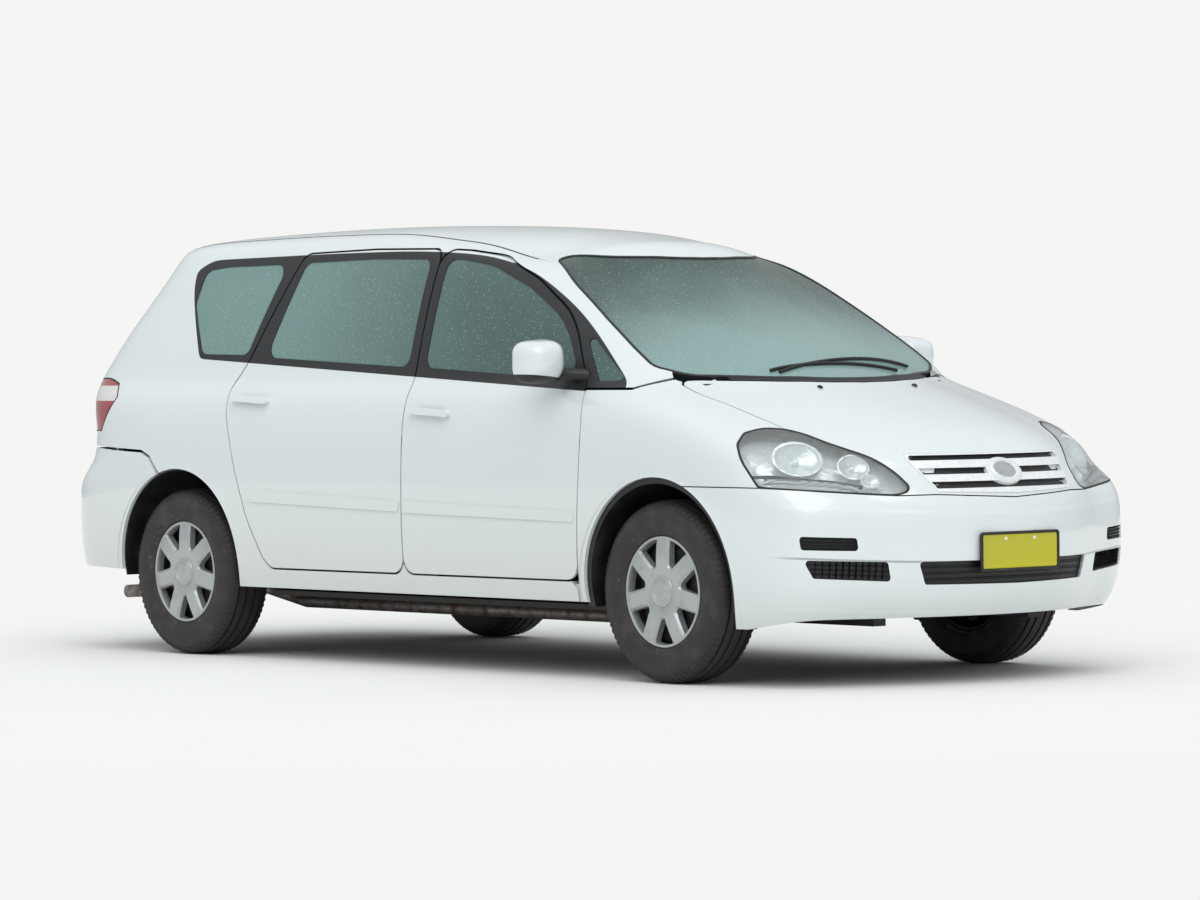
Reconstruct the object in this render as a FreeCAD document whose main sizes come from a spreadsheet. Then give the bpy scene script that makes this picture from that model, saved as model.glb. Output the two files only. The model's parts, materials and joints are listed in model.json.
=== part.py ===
"""A five-door, seven-seat minivan, built as an assembly of body panels, glass, cabin and running gear.

X points forward, Y to the vehicle's left and Z up. The origin is on the ground under the middle of
the overall length. The painted skin is one smooth net of control points, laid out row by row from
the bumper's lower edge to the spine of the roof. Every panel is cut from that skin and from nets
set inwards from it, so neighbouring panels stay flush.
"""
import FreeCAD, Part
import Sketcher
import math
import os
from FreeCAD import Placement, Rotation, Vector

doc = FreeCAD.newDocument("minivan")
sheet = doc.addObject("Spreadsheet::Sheet", "Sizes")

# Driving dimensions in millimetres and degrees
sizes = {
    "overall_length": 4690.0,
    "overall_width": 1760.0,
    "overall_height": 1664.0,
    "wheelbase": 2825.0,
    "front_overhang": 930.0,
    "bumper_bottom": 205.0,
    "door_bottom": 352.0,
    "belt_height": 1098.0,
    "track_width": 1506.0,
    "overrun": 40.0,
    # Panels and glass
    "wall": 60.0,
    "skin": 14.0,
    "lid": 22.0,
    "grille_depth": 16.0,
    "slat_stand": 3.0,
    "roof_thickness": 26.0,
    "tailgate_thickness": 50.0,
    "glass": 5.0,
    "glass_sink": 3.0,
    "shut_gap": 7.0,
    "panel_gap": 4.0,
    "seat_gap": 0.3,
    "door_flange": 10.0,
    "door_rebate": 14.0,
    "corner_radius": 60.0,
    "glass_radius": 45.0,
    "small_radius": 12.0,
    "lamp_angle": 42.0,
    "tail_lamp_angle": 115.0,
    "sweep_radius": 500.0,
    "sweep_angle": 150.0,
    "handle_stand": 24.0,
    "handle_room": 12.0,
    "moulding_stand": 6.0,
    # Wheels, arches and steering
    "arch_radius": 388.0,
    "front_liner_radius": 372.0,
    "liner_wall": 6.0,
    "liner_inner": 452.0,
    "tyre_radius": 324.0,
    "tyre_width": 205.0,
    "tyre_shoulder": 28.0,
    "bead_radius": 197.0,
    "rim_width": 170.0,
    "rim_wall": 9.0,
    "cover_face": 76.0,
    "cover_thickness": 14.0,
    "hub_radius": 34.0,
    "bore_radius": 30.0,
    "disc_radius": 138.0,
    "disc_thickness": 24.0,
    "kingpin_offset": 700.0,
    "kingpin_top": 560.0,
    "ball_joint_height": 195.0,
    "strut_top_height": 690.0,
    "strut_radius": 28.0,
    # Hinges
    "hinge_setback": 65.0,
    "lid_setback": 45.0,
    "lid_reach": 44.0,
    "hinge_depth": 13.0,
    "pin_radius": 4.0,
    "eye_radius": 8.0,
    "arm_width": 12.0,
    "hinge_height": 50.0,
    "arm_reach": 71.0,
    "arm_thickness": 9.0,
    "pin_gap": 0.3,
    "post_depth": 110.0,
    "post_width": 58.0,
    # Mirrors, cabin and running gear
    "mirror_reach": 50.0,
    "mirror_width": 170.0,
    "mirror_height": 132.0,
    "mirror_depth": 130.0,
    "mirror_round": 42.0,
    "mirror_foot_radius": 22.0,
    "floor_height": 262.0,
    "floor_thickness": 20.0,
    "engine_length": 520.0,
    "engine_width": 700.0,
    "engine_height": 560.0,
    "seat_height": 190.0,
    "seat_depth": 500.0,
    "seat_width": 500.0,
    "bench_width": 1180.0,
    "rear_bench_width": 860.0,
    "cushion_height": 130.0,
    "back_thickness": 110.0,
    "back_height": 600.0,
    "back_lean": 18.0,
    "headrest_width": 240.0,
    "headrest_height": 170.0,
    "dash_depth": 330.0,
    "column_angle": 28.0,
    "column_radius": 32.0,
    "wheel_ring_radius": 185.0,
    "wheel_ring_thickness": 28.0,
    "muffler_start": 0.4,
    "muffler_end": 0.8,
    "spoke_count": 7.0,
    "opening_inner": 34.0,
    "opening_outer": 92.0,
    "exhaust_radius": 26.0,
}
for line, (name, value) in enumerate(sizes.items(), start=1):
    sheet.set("A%d" % line, name)
    sheet.set("B%d" % line, str(value))
    sheet.setAlias("B%d" % line, name)
doc.recompute()


class Sheet:
    """The spreadsheet's cells as attributes, so that the code reads s.wall for the cell wall."""

    def __getattr__(self, name):
        return float(sheet.get(name))


s = Sheet()
nodes = []

# The stations along the body. Shares are thousandths of half the length, half the width and the
# height; between the nose, the two axles and the tail they stretch with the sizes of that stretch.
nose_x = s.overall_length / 2
front_axle_x = nose_x - s.front_overhang
rear_axle_x = front_axle_x - s.wheelbase
station_shares = (-1000, -601, 603, 1000)
stations = (-nose_x, rear_axle_x, front_axle_x, nose_x)
level_shares = (0, 123, 212, 660, 1000)
levels = (0, s.bumper_bottom, s.door_bottom, s.belt_height, s.overall_height)


def between(share, marks, places):
    """Read a share off a scale whose marks lie at the given places."""
    piece = 0
    while piece < len(marks) - 2 and share > marks[piece + 1]:
        piece += 1
    part = (share - marks[piece]) / (marks[piece + 1] - marks[piece])
    return places[piece] + part * (places[piece + 1] - places[piece])


def along(share):
    return between(share, station_shares, stations)


def up(share):
    return between(share, level_shares, levels)


def across(share):
    return share / 1000 * s.overall_width / 2


# The skin: each row gives the nose, the tail and the half width, and then the row's height at the
# side, the front corner, the nose, the rear corner and the tail.
level_row_shares = (
    (953, -955, 952, 123),
    (988, -986, 975, 159),
    (1000, -999, 993, 234),
    (1001, -1000, 1000, 337),
    (991, -997, 1000, 409),
    (965, -979, 998, 448),
    (949, -971, 995, 488),
    (891, -974, 990, 532),
    (802, -981, 980, 574),
    (711, -987, 957, 612),
    (650, -985, 923, 638),
    (624, -978, 909, 660),
    (479, -917, 864, 763),
    (345, -845, 805, 865),
)
bowed_row_shares = (
    (277, -812, 755, (940, 895, 940, 928, 938)),
    (226, -797, 707, (972, 902, 951, 961, 968)),
)
# Each corner of a row: how far it is set back from the nose or tail, and its share of the width
tail_corner_shares = ((0, 0), (0, 320), (41, 620), (70, 915), (183, 1000))
low_tail_corner_shares = ((0, 0), (0, 320), (32, 650), (58, 945), (183, 1000))
nose_corner_shares = ((205, 1000), (92, 920), (70, 610), (0, 320), (0, 0))
hood_corner_shares = ((205, 1000), (132, 920), (79, 610), (0, 320), (0, 0))
glass_corner_shares = ((205, 1000), (62, 920), (67, 610), (0, 320), (0, 0))
side_shares = (170, 360, 550, 730, 880)
roof_row_shares = ((720, 100, 750), (340, 260, 1000), (0, 320, 1000))
roof_crown_share = -277
roof_rear_arch_share = 95
roof_front_arch_share = 192
low_rows = 5
first_hood_row = 5
last_hood_row = 10
first_glass_row = 12


def nose_corners(index):
    """The shape of the front corners in plan, which is rounder at the lamps than at the windshield."""
    if first_hood_row <= index <= last_hood_row:
        return hood_corner_shares
    return glass_corner_shares if index >= first_glass_row else nose_corner_shares


def ring(index, nose, tail, width, heights):
    """One row of control points from the middle of the tail round the side to the nose."""
    side, front_corner, front, rear_corner, rear = [up(share) for share in heights]
    half = across(width)
    squeeze = min(1, width / 1000)
    corner = s.overall_length / 2 / 1000 * squeeze
    rear_heights = (rear, rear, rear, rear_corner, (rear_corner + side) / 2)
    front_heights = ((front_corner + side) / 2, front_corner, (front_corner + 2 * front) / 3, front, front)
    points = []
    tail_corners = low_tail_corner_shares if index < low_rows else tail_corner_shares
    for (back, out), height in zip(tail_corners, rear_heights):
        points.append(Vector(along(tail) + back * corner, out / 1000 * half, height))
    start = points[-1].x
    end = along(nose) - nose_corner_shares[0][0] * corner
    for share in side_shares:
        height = side
        if share == side_shares[0]:
            height = (2 * side + rear_corner) / 3
        if share == side_shares[-1]:
            height = (2 * side + front_corner) / 3
        points.append(Vector(start + (end - start) * share / 1000, half, height))
    for (back, out), height in zip(nose_corners(index), front_heights):
        points.append(Vector(along(nose) - back * corner, out / 1000 * half, height))
    return points


def crown(x):
    """The height of the roof's spine, highest a little behind the middle."""
    reach = (x - along(roof_crown_share)) / (s.overall_length / 2)
    arch_share = roof_rear_arch_share if reach < 0 else roof_front_arch_share
    return s.overall_height * (1 - arch_share / 1000 * reach * reach)


def outer_net():
    rows = []
    for nose, tail, width, height in level_row_shares:
        rows.append(ring(len(rows), nose, tail, width, [height] * 5))
    for nose, tail, width, heights in bowed_row_shares:
        rows.append(ring(len(rows), nose, tail, width, heights))
    top = rows[-1]
    first, last = top[0].x, top[-1].x
    middle = along(roof_crown_share)
    for out, pull, blend in roof_row_shares:
        row = []
        for point in top:
            end = first if point.x < middle else last
            x = point.x + (middle - point.x) * pull / 1000 * abs((point.x - middle) / (end - middle))
            z = point.z + (crown(x) - point.z) * blend / 1000
            row.append(Vector(x, point.y * out / 1000, z))
        rows.append(row)
    return rows


def net_normals(rows):
    """Outward directions at the control points, square to the middle plane along the centreline."""
    normals = []
    last_row, last_column = len(rows) - 1, len(rows[0]) - 1
    for i, row in enumerate(rows):
        line = []
        for j, point in enumerate(row):
            if j == 0 or j == last_column:
                inner = row[1] if j == 0 else row[-2]
                around = Vector(0, inner.y if j == 0 else -inner.y, 0)
            else:
                around = row[j + 1] - row[j - 1]
            if i == last_row:
                rise = Vector(0, -rows[i - 1][j].y, 0)
            else:
                rise = rows[i + 1][j] - rows[max(i - 1, 0)][j]
            normal = rise.cross(around)
            line.append(normal.normalize() if normal.Length > 1 else None)
        normals.append(line)
    # The ends of the spine take the mean of the directions beside them
    spine = normals[last_row]
    for j, beside in ((0, 2), (1, 2), (last_column, last_column - 2), (last_column - 1, last_column - 2)):
        edge = normals[last_row - 1][0 if j < 2 else last_column]
        spine[j] = (spine[beside] + edge).normalize()
    for line in normals:
        line[1] = Vector(line[0])
        line[-2] = Vector(line[-1])
    for j in range(2, last_column - 1):
        normals[last_row - 1][j] = Vector(spine[j])
    return normals


outer_rows = outer_net()
outward = net_normals(outer_rows)


def skin_surface(inset=0):
    """The skin, or a copy of it set inwards whose lower edge hangs below the body."""
    rows = []
    for i, (row, normals) in enumerate(zip(outer_rows, outward)):
        line = [point - normal * inset for point, normal in zip(row, normals)]
        if i == 0 and inset:
            for point in line:
                point.z = s.bumper_bottom - s.overrun
        line[0].y = 0
        line[-1].y = 0
        rows.append(line)
    for point in rows[-1]:
        point.y = 0
    surface = Part.BSplineSurface()
    u_knots = list(range(len(rows) - 2))
    v_knots = list(range(len(rows[0]) - 2))
    u_times = [4] + [1] * (len(u_knots) - 2) + [4]
    v_times = [4] + [1] * (len(v_knots) - 2) + [4]
    surface.buildFromPolesMultsKnots(rows, u_times, v_times, u_knots, v_knots, False, False, 3, 3)
    return surface


def half_solid(inset=0):
    """The left half of the body as a solid, closed by the middle plane and its flat underside."""
    surface = skin_surface(inset)
    first_u, last_u, first_v, last_v = surface.bounds()
    low_edge = surface.uIso(first_u).toShape()
    spine = surface.uIso(last_u).toShape()
    tail_edge = surface.vIso(first_v).toShape()
    nose_edge = surface.vIso(last_v).toShape()
    closing = Part.makeLine(surface.value(first_u, first_v), surface.value(first_u, last_v))
    middle = Part.Face(Part.Wire(Part.__sortEdges__([tail_edge, spine, nose_edge, closing])))
    under = Part.Face(Part.Wire(Part.__sortEdges__([low_edge, closing])))
    shell = Part.makeShell([surface.toShape(), middle, under])
    shell.sewShape()
    solid = Part.Solid(shell)
    if solid.Volume < 0:
        solid.reverse()
    return solid


solids = {}


def inset_solid(inset):
    """The half solid at one inset, made once."""
    if inset not in solids:
        solids[inset] = half_solid(inset)
    return solids[inset]


def layer(prism, outside, inside):
    """The wall between two insets, within a prism."""
    piece = inset_solid(outside).common(prism)
    return piece.cut(inset_solid(inside))


def skin_y(x, z, inset=0):
    """How far out the skin lies at one place on the side."""
    line = Part.makeLine(Vector(x, 1, z), Vector(x, s.overall_width, z))
    return line.common(inset_solid(inset)).BoundBox.YMax


def skin_z(x, y, inset=0):
    """How high the skin lies over one place."""
    line = Part.makeLine(Vector(x, y, s.belt_height / 2), Vector(x, y, 2 * s.overall_height))
    return line.common(inset_solid(inset)).BoundBox.ZMax


# Outlines: closed lines whose corners are rounded by arcs
def rounded(points, radius):
    """A closed wire through flat points, with an arc at each corner and a wide sweep at blunt ones."""
    edges = []
    count = len(points)
    starts, ends, arcs = [], [], []
    for i, corner in enumerate(points):
        before, after = points[i - 1], points[(i + 1) % count]
        back, ahead = before - corner, after - corner
        angle = back.getAngle(ahead)
        wanted = s.sweep_radius if radius and angle > math.radians(s.sweep_angle) else radius
        reach = min(wanted / math.tan(angle / 2), 0.49 * back.Length, 0.49 * ahead.Length)
        if reach < s.seat_gap or angle > math.radians(178):
            starts.append(corner)
            ends.append(corner)
            arcs.append(None)
            continue
        back.normalize()
        ahead.normalize()
        bend = reach * math.tan(angle / 2)
        centre = corner + (back + ahead).normalize() * (bend / math.sin(angle / 2))
        starts.append(corner + back * reach)
        ends.append(corner + ahead * reach)
        arcs.append(centre + (corner - centre).normalize() * bend)
    for i in range(count):
        if arcs[i]:
            edges.append(Part.Arc(starts[i], arcs[i], ends[i]).toShape())
        following = starts[(i + 1) % count]
        if (following - ends[i]).Length > s.seat_gap / 100:
            edges.append(Part.makeLine(ends[i], following))
    return Part.Wire(Part.__sortEdges__(edges))


def grown(points, grow):
    """The outline with every side moved outwards by the same distance, or inwards if negative."""
    area = Vector(0, 0, 0)
    for i, point in enumerate(points):
        area += (points[i - 1] - points[0]).cross(point - points[0])
    area.normalize()
    moved = []
    for i, corner in enumerate(points):
        back = (corner - points[i - 1]).normalize().cross(area)
        ahead = (points[(i + 1) % len(points)] - corner).normalize().cross(area)
        moved.append(corner + (back + ahead) * (grow / (1 + back.dot(ahead))))
    return moved


def swept(points, grow, radius, start, path):
    """A prism on an outline, grown or shrunk in its plane and with its corners rounded."""
    face = Part.Face(rounded(grown(points, grow), radius))
    face.translate(start)
    return face.extrude(path)


def side_prism(outline, grow=0, radius=0):
    """Cut through the left half: the outline is seen from the side."""
    points = [Vector(along(x), 0, up(z)) for x, z in outline]
    return swept(points, grow, radius, Vector(0, -s.overrun, 0), Vector(0, s.overall_width, 0))


def plan_prism(outline, grow=0, radius=0, low=0):
    """Cut through from above: a half outline from one place on the middle line to another."""
    points = [Vector(along(x), across(y), low) for x, y in outline]
    points.insert(0, Vector(points[0].x, -s.overrun, low))
    points.append(Vector(points[-1].x, -s.overrun, low))
    return swept(points, grow, radius, Vector(0, 0, 0), Vector(0, 0, 2 * s.overall_height))


def end_prism(outline, first, last, grow=0, radius=0):
    """Cut through from the front or rear: a half outline of places across and up."""
    points = [Vector(first, across(y), up(z)) for y, z in outline]
    points.insert(0, Vector(first, -s.overrun, points[0].z))
    points.append(Vector(first, -s.overrun, points[-1].z))
    return swept(points, grow, radius, Vector(0, 0, 0), Vector(last - first, 0, 0))


def corner_prism(outline, angle, grow=0, radius=0):
    """Cut through a corner of the body, along a level direction at an angle to the X axis."""
    heading = Vector(math.cos(math.radians(angle)), math.sin(math.radians(angle)), 0)
    points = []
    for x, y, z in outline:
        place = Vector(along(x), across(y), up(z))
        points.append(place - heading * place.dot(heading))
    return swept(points, grow, radius, Vector(0, 0, 0), heading * s.overall_length)


def whole(half):
    """A half piece joined to its mirror image across the middle plane."""
    return half.fuse(half.mirror(Vector(0, 0, 0), Vector(0, 1, 0)))


def flipped(shape):
    return shape.mirror(Vector(0, 0, 0), Vector(0, 1, 0))


def largest(shape):
    return max(shape.Solids, key=lambda solid: solid.Volume)


def box(x0, x1, y0, y1, z0, z1):
    return Part.makeBox(x1 - x0, y1 - y0, z1 - z0, Vector(x0, y0, z0))


def rod(start, end, radius):
    path = end - start
    return Part.makeCylinder(radius, path.Length, start, path)


def add(label, shape, place=Placement()):
    """Put a finished shape into the document as a sub-part with its own label and placement."""
    feature = doc.addObject("Part::Feature", label)
    feature.Label = label
    feature.Shape = shape
    feature.Placement = place
    nodes.append(feature)
    return feature


def add_pair(label, shape):
    """A left piece and its mirror image on the right."""
    add(label + "_left", shape)
    add(label + "_right", flipped(shape))


# Outlines of the openings, as shares along, across and up
front_door_shares = (
    (423, 212), (427, 346), (431, 440), (433, 549), (426, 624), (353, 776),
    (240, 864), (138, 918), (60, 932), (0, 937), (0, 212),
)
rear_door_shares = (
    (0, 212), (0, 937), (-171, 941), (-354, 936), (-441, 695), (-473, 632),
    (-470, 579), (-442, 451), (-407, 325), (-365, 230), (-345, 212),
)
front_window_shares = (
    (402, 642), (340, 766), (232, 846), (132, 897), (60, 911), (21, 915), (21, 671),
)
rear_window_shares = ((-21, 672), (-21, 915), (-171, 919), (-345, 915), (-399, 697))
quarter_window_shares = (
    (-452, 703), (-394, 913), (-560, 911), (-618, 903), (-626, 825), (-578, 706),
)
front_quarter_shares = ((444, 640), (374, 760), (498, 640))
windshield_shares = (
    (303, 0), (300, 136), (280, 301), (255, 414), (189, 576), (291, 688), (396, 744), (469, 774),
    (514, 781), (550, 690), (575, 562), (618, 378), (646, 160), (650, 0),
)
roof_shares = ((320, 0), (310, 330), (280, 510), (215, 640), (-810, 640), (-810, 0))
hood_shares = (
    (668, 0), (662, 175), (634, 377), (589, 562), (567, 657), (552, 742), (607, 756), (658, 740),
    (730, 730), (778, 713),
    (1100, 744), (1100, 0),
)
cowl_shares = (
    (610, 0), (600, 400), (560, 560), (530, 690), (540, 760), (575, 700), (610, 562), (655, 377), (690, 0),
)
fender_shares = (
    (423, 166), (427, 346), (431, 440), (433, 549), (427, 622), (519, 622), (565, 655),
    (1050, 655), (1050, 400), (603, 400), (603, 166),
)
headlamp_shares = (
    (778, 713, 538), (758, 786, 541), (753, 873, 531), (761, 931, 509), (777, 953, 476),
    (818, 958, 418), (890, 809, 410), (926, 618, 402), (944, 524, 399), (951, 459, 411),
    (923, 484, 448), (894, 535, 478), (864, 600, 496), (840, 639, 509), (804, 675, 528),
)
grille_shares = ((0, 484), (430, 484), (367, 406), (0, 400))
intake_shares = ((0, 262), (466, 262), (435, 214), (0, 211))
high_slot_shares = ((883, 905, 319), (926, 702, 314), (927, 696, 287), (885, 899, 291))
low_slot_shares = ((887, 893, 270), (944, 581, 263), (944, 565, 222), (895, 860, 232))
bumper_top_shares = ((0, 391), (375, 400), (524, 399), (618, 402), (809, 410), (958, 418), (1100, 422))
tailgate_shares = (
    (0, 1100), (640, 1100), (640, 960), (665, 900), (700, 780), (728, 690), (738, 640),
    (735, 560), (715, 480), (650, 392), (0, 385),
)
back_window_shares = ((0, 893), (330, 890), (470, 872), (540, 835), (640, 700), (615, 668), (0, 662))
tail_lamp_shares = (
    (-895, 700, 652), (-836, 887, 651), (-804, 911, 638), (-792, 944, 607), (-839, 946, 525),
    (-930, 700, 522),
)
rear_bumper_shares = (
    (-1100, 205), (-1100, 487), (-871, 485), (-704, 476), (-682, 464), (-657, 426), (-601, 380),
    (-601, 190),
)
body_side_shares = (
    (420, 166), (420, 195), (395, 225), (395, 625), (517, 625), (562, 658), (562, 1100), (-1100, 1100),
    (-1100, 489), (-871, 489), (-702, 480), (-678, 467), (-650, 426), (-601, 380), (-601, 166),
)

hinge_height_shares = (300, 500)
front_handle_shares = ((20, 586), (117, 578), (120, 562), (24, 569))
front_handle_room_shares = ((42, 600), (98, 600), (98, 550), (42, 550))
rear_handle_shares = ((-456, 613), (-358, 606), (-353, 590), (-450, 597))
rear_handle_room_shares = ((-434, 625), (-376, 625), (-376, 580), (-434, 580))
front_moulding_shares = ((6, 376), (416, 362), (420, 339), (5, 349))
rear_moulding_shares = ((-400, 393), (-6, 376), (-6, 351), (-395, 365))
loft_share = 300
mirror_place_share = 373
mirror_height_share = 695
mirror_foot_shares = (402, 650)
lid_hinge_share = 640
tail_hinge_share = 400
tailgate_top_share = -780
header_share = -742
hood_hinge_share = 580
# Room for the hood's rear corners in the cowl's ends, and for the open tailgate in the roof's rear edge
cowl_corner_shares = (593, 544)
roof_lip_share = 290
glass_low_share = 600
lid_low_share = 520
roof_low_share = 880
header_low_share = 850
header_half_share = 620
tail_zone_shares = (-1100, -700)
# The hinge pillar behind the fender, and the heights between which the door leaves it room
hinge_pillar_shares = (
    (405, 168), (466, 168), (466, 655), (430, 655), (430, 627), (437, 560), (437, 205), (405, 205),
)
pillar_room_shares = (205, 640)
# The middle post: its foot, the sill's top, the rail's lower edge and its head
middle_post_shares = (168, 204, 925, 975)
post_reach_share = 650
# Inner parts
floor_back_share = -950
firewall_share = 478
firewall_top_share = 620
loft_front_share = -406
trailing_pivot_share = -430
frame_share = 858
radiator_shares = (400, 440)
front_seat_share = 420
seat_row_shares = (105, -265, -625)
dash_shares = (500, 560, 650)
steering_shares = (280, 590)
# Places of the exhaust's bends: along, across and how far it rises there, in thirds of a wall
exhaust_places = ((430, -330, 0), (-570, -330, 0), (-690, -363, 3), (-970, -561, 1))
hanger_shares = (300, -340, -900)
wiper_shares = (((613, -330), (578, 480)), ((613, 330), (604, -360)))

# The low and high edge of each bar across the grille
slat_shares = ((454, 470), (426, 441), (400, 412))


def slat_outline(low, high):
    """One bar across the grille, as a band between two heights."""
    end = grille_shares[1][0]
    return ((0, high), (end, high), (end, low), (0, low))


half_gap = s.shut_gap / 2
half_seam = s.panel_gap / 2
arch_centre_height = s.tyre_radius + (s.arch_radius - s.tyre_radius) / 4


def arch(x, radius):
    """The round of a wheel arch, through the left side."""
    start = Vector(x, -s.overrun, arch_centre_height)
    return Part.makeCylinder(radius, s.overall_width, start, Vector(0, 1, 0))


front_arch = arch(front_axle_x, s.arch_radius)
rear_arch = arch(rear_axle_x, s.arch_radius)

# Windshield
windshield_prism = plan_prism(windshield_shares, -s.seat_gap, s.corner_radius)
windshield = layer(windshield_prism, s.glass_sink, s.glass_sink + s.glass)
windshield_cut = plan_prism(windshield_shares, 0, s.corner_radius)
above_belt = box(-nose_x, nose_x, 0, s.overall_width, up(glass_low_share), 2 * s.overall_height)
add("windshield", whole(largest(windshield.common(above_belt))))

# Headlamps, at the corners of the nose
lamp_corner = s.small_radius * 2
headlamp_cut = corner_prism(headlamp_shares, s.lamp_angle, half_seam, lamp_corner)
headlamp = layer(corner_prism(headlamp_shares, s.lamp_angle, -half_seam, lamp_corner), 0, s.wall)
headlamp = largest(headlamp)
add("headlamps", Part.Compound([headlamp, flipped(headlamp)]))

# Hood, from the cowl to the bumper
below = bumper_top_shares + ((1100, 0), (0, 0))
nose_zone = end_prism(below, front_axle_x, 2 * nose_x, half_seam)
hood_cut = plan_prism(hood_shares, half_gap, s.corner_radius, s.belt_height / 3)
hood = layer(plan_prism(hood_shares, -half_gap, s.corner_radius, s.belt_height / 3), 0, s.lid)
hood = largest(hood.cut(nose_zone).cut(headlamp_cut))

# The cowl is a dark strip between the hood and the windshield
cowl_cut = plan_prism(cowl_shares, 0, s.corner_radius, s.belt_height / 2)
cowl = layer(plan_prism(cowl_shares, -s.seat_gap, s.corner_radius, s.belt_height / 2), 0, s.skin)
cowl = cowl.cut(windshield_cut).cut(hood_cut)

# The grille is a dark recess in the hood behind three bright slats
grille_cut = end_prism(grille_shares, front_axle_x, 2 * nose_x, 0, s.small_radius)
hood = hood.cut(layer(grille_cut, 0, s.grille_depth))
grille_back = layer(end_prism(grille_shares, front_axle_x, 2 * nose_x, -s.seat_gap, s.small_radius),
                    s.grille_depth - s.glass, s.grille_depth - s.seat_gap)


def lid_pin(x, y, z):
    """A level hinge pin across the body, long enough to sit in the lid on both sides of its leaf."""
    half = s.hinge_height / 2 + s.arm_width
    return rod(Vector(x, y - half, z), Vector(x, y + half, z), s.pin_radius)


def lid_eye(x, y, z):
    half = s.hinge_height / 2
    return rod(Vector(x, y - half, z), Vector(x, y + half, z), s.eye_radius)


def lid_bore(x, y, z):
    half = s.hinge_height / 2
    return rod(Vector(x, y - half, z), Vector(x, y + half, z), s.pin_radius + s.pin_gap)


def arm_room(axis, slope, y, half):
    """The room round a tailgate hinge between its eye and the upper edge, square to the panel."""
    out = Vector(slope.z, 0, -slope.x)
    top = axis + out * (s.eye_radius + 5 * s.pin_gap)
    ahead = slope * (-2 * s.lid_setback)
    back = slope * (s.eye_radius + s.arm_width / 2)
    inward = out * (-2 * s.wall)
    corners = [top + back, top + ahead, top + ahead + inward, top + back + inward]
    corners = [Vector(place.x, y - half, place.z) for place in corners]
    face = Part.Face(Part.makePolygon(corners + corners[:1]))
    return face.extrude(Vector(0, 2 * half, 0))


hood_hinge_y = across(lid_hinge_share)
hood_hinge_x = along(hood_hinge_share)
hood_hinge_z = skin_z(hood_hinge_x, hood_hinge_y) - s.hinge_depth
half_leaf = s.hinge_height / 2
boss_half = half_leaf + s.arm_width + s.small_radius
boss_back = hood_hinge_x - s.lid
lid_low = up(lid_low_share)
boss_front = hood_hinge_x + s.hinge_setback
boss_right, boss_left = hood_hinge_y - boss_half, hood_hinge_y + boss_half
boss = box(boss_back, boss_front, boss_right, boss_left, lid_low, s.overall_height)
boss = layer(boss, s.lid / 2, s.lid * 2)
notch_half = half_leaf + s.arm_width / 6
hood_notch = box(boss_back - 2 * s.hinge_setback, hood_hinge_x + s.eye_radius + s.arm_width / 2,
                 hood_hinge_y - notch_half, hood_hinge_y + notch_half,
                 lid_low, hood_hinge_z + s.eye_radius + 5 * s.pin_gap)
hood = largest(hood).fuse(boss).cut(hood_notch).fuse(lid_pin(hood_hinge_x, hood_hinge_y, hood_hinge_z))
add("hood", whole(hood))
boss_room = box(boss_back - s.shut_gap, nose_x, boss_right - s.panel_gap, boss_left + s.panel_gap,
                lid_low, s.overall_height)
corner_ahead, corner_beside = cowl_corner_shares
corner_room = box(boss_back - s.shut_gap, along(corner_ahead), across(corner_beside), boss_left, lid_low,
                  s.overall_height)
add("cowl", whole(largest(cowl.cut(boss_room).cut(corner_room))))
grille_edge = end_prism(grille_shares, front_axle_x, 2 * nose_x, -s.seat_gap, s.small_radius)
grille_hole = end_prism(grille_shares, front_axle_x, 2 * nose_x, -s.liner_wall, s.small_radius)
slats = layer(grille_edge, -s.slat_stand, s.grille_depth - s.glass)
bars = slats.cut(grille_hole)
for low, high in slat_shares:
    bars = bars.fuse(slats.common(end_prism(slat_outline(low, high), front_axle_x, 2 * nose_x)))
add("grille", whole(largest(largest(grille_back).fuse(bars))))

# Front fenders
fender = layer(side_prism(fender_shares, -half_seam), 0, s.skin)
for cutter in (hood_cut, headlamp_cut, nose_zone, front_arch, windshield_cut, cowl_cut):
    fender = fender.cut(cutter)
fender = largest(fender)
add("fenders", Part.Compound([fender, flipped(fender)]))

# Front bumper, with its three pairs of openings and the flat pad for the plate
bumper_zone = end_prism(below, front_axle_x, 2 * nose_x, -half_seam)
front_bumper = layer(bumper_zone, 0, s.skin).cut(front_arch)
for outline in (high_slot_shares, low_slot_shares):
    front_bumper = front_bumper.cut(corner_prism(outline, s.lamp_angle, 0, s.small_radius))
front_bumper = front_bumper.cut(end_prism(intake_shares, front_axle_x, 2 * nose_x, 0, s.small_radius))
add("front_bumper", whole(largest(front_bumper)))
intake_prism = end_prism(intake_shares, front_axle_x, 2 * nose_x, s.small_radius)
intake_back = layer(intake_prism, s.skin + s.seat_gap, s.skin + s.lid)
slot_backs = [layer(corner_prism(outline, s.lamp_angle, s.small_radius), s.skin + s.seat_gap, s.skin + s.lid)
              for outline in (high_slot_shares, low_slot_shares)]
pieces = [whole(largest(intake_back))]
for back in slot_backs:
    pieces += [largest(back), flipped(largest(back))]
add("lower_grille", Part.Compound(pieces))

# The tailgate hangs on two hinges whose line lies just under the roof's rear edge
tailgate_y = across(tail_hinge_share)
tailgate_top_x = along(tailgate_top_share)
edge = Vector(tailgate_top_x, 0, skin_z(tailgate_top_x, tailgate_y))
beside = tailgate_top_x - s.eye_radius
lower = Vector(beside, 0, skin_z(beside, tailgate_y))
slope = (lower - edge).normalize()
tail_out = Vector(slope.z, 0, -slope.x)
tail_axis = edge + slope * s.lid_setback - tail_out * s.hinge_depth
leaf_end = tail_axis - tail_out * s.lid_reach


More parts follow.
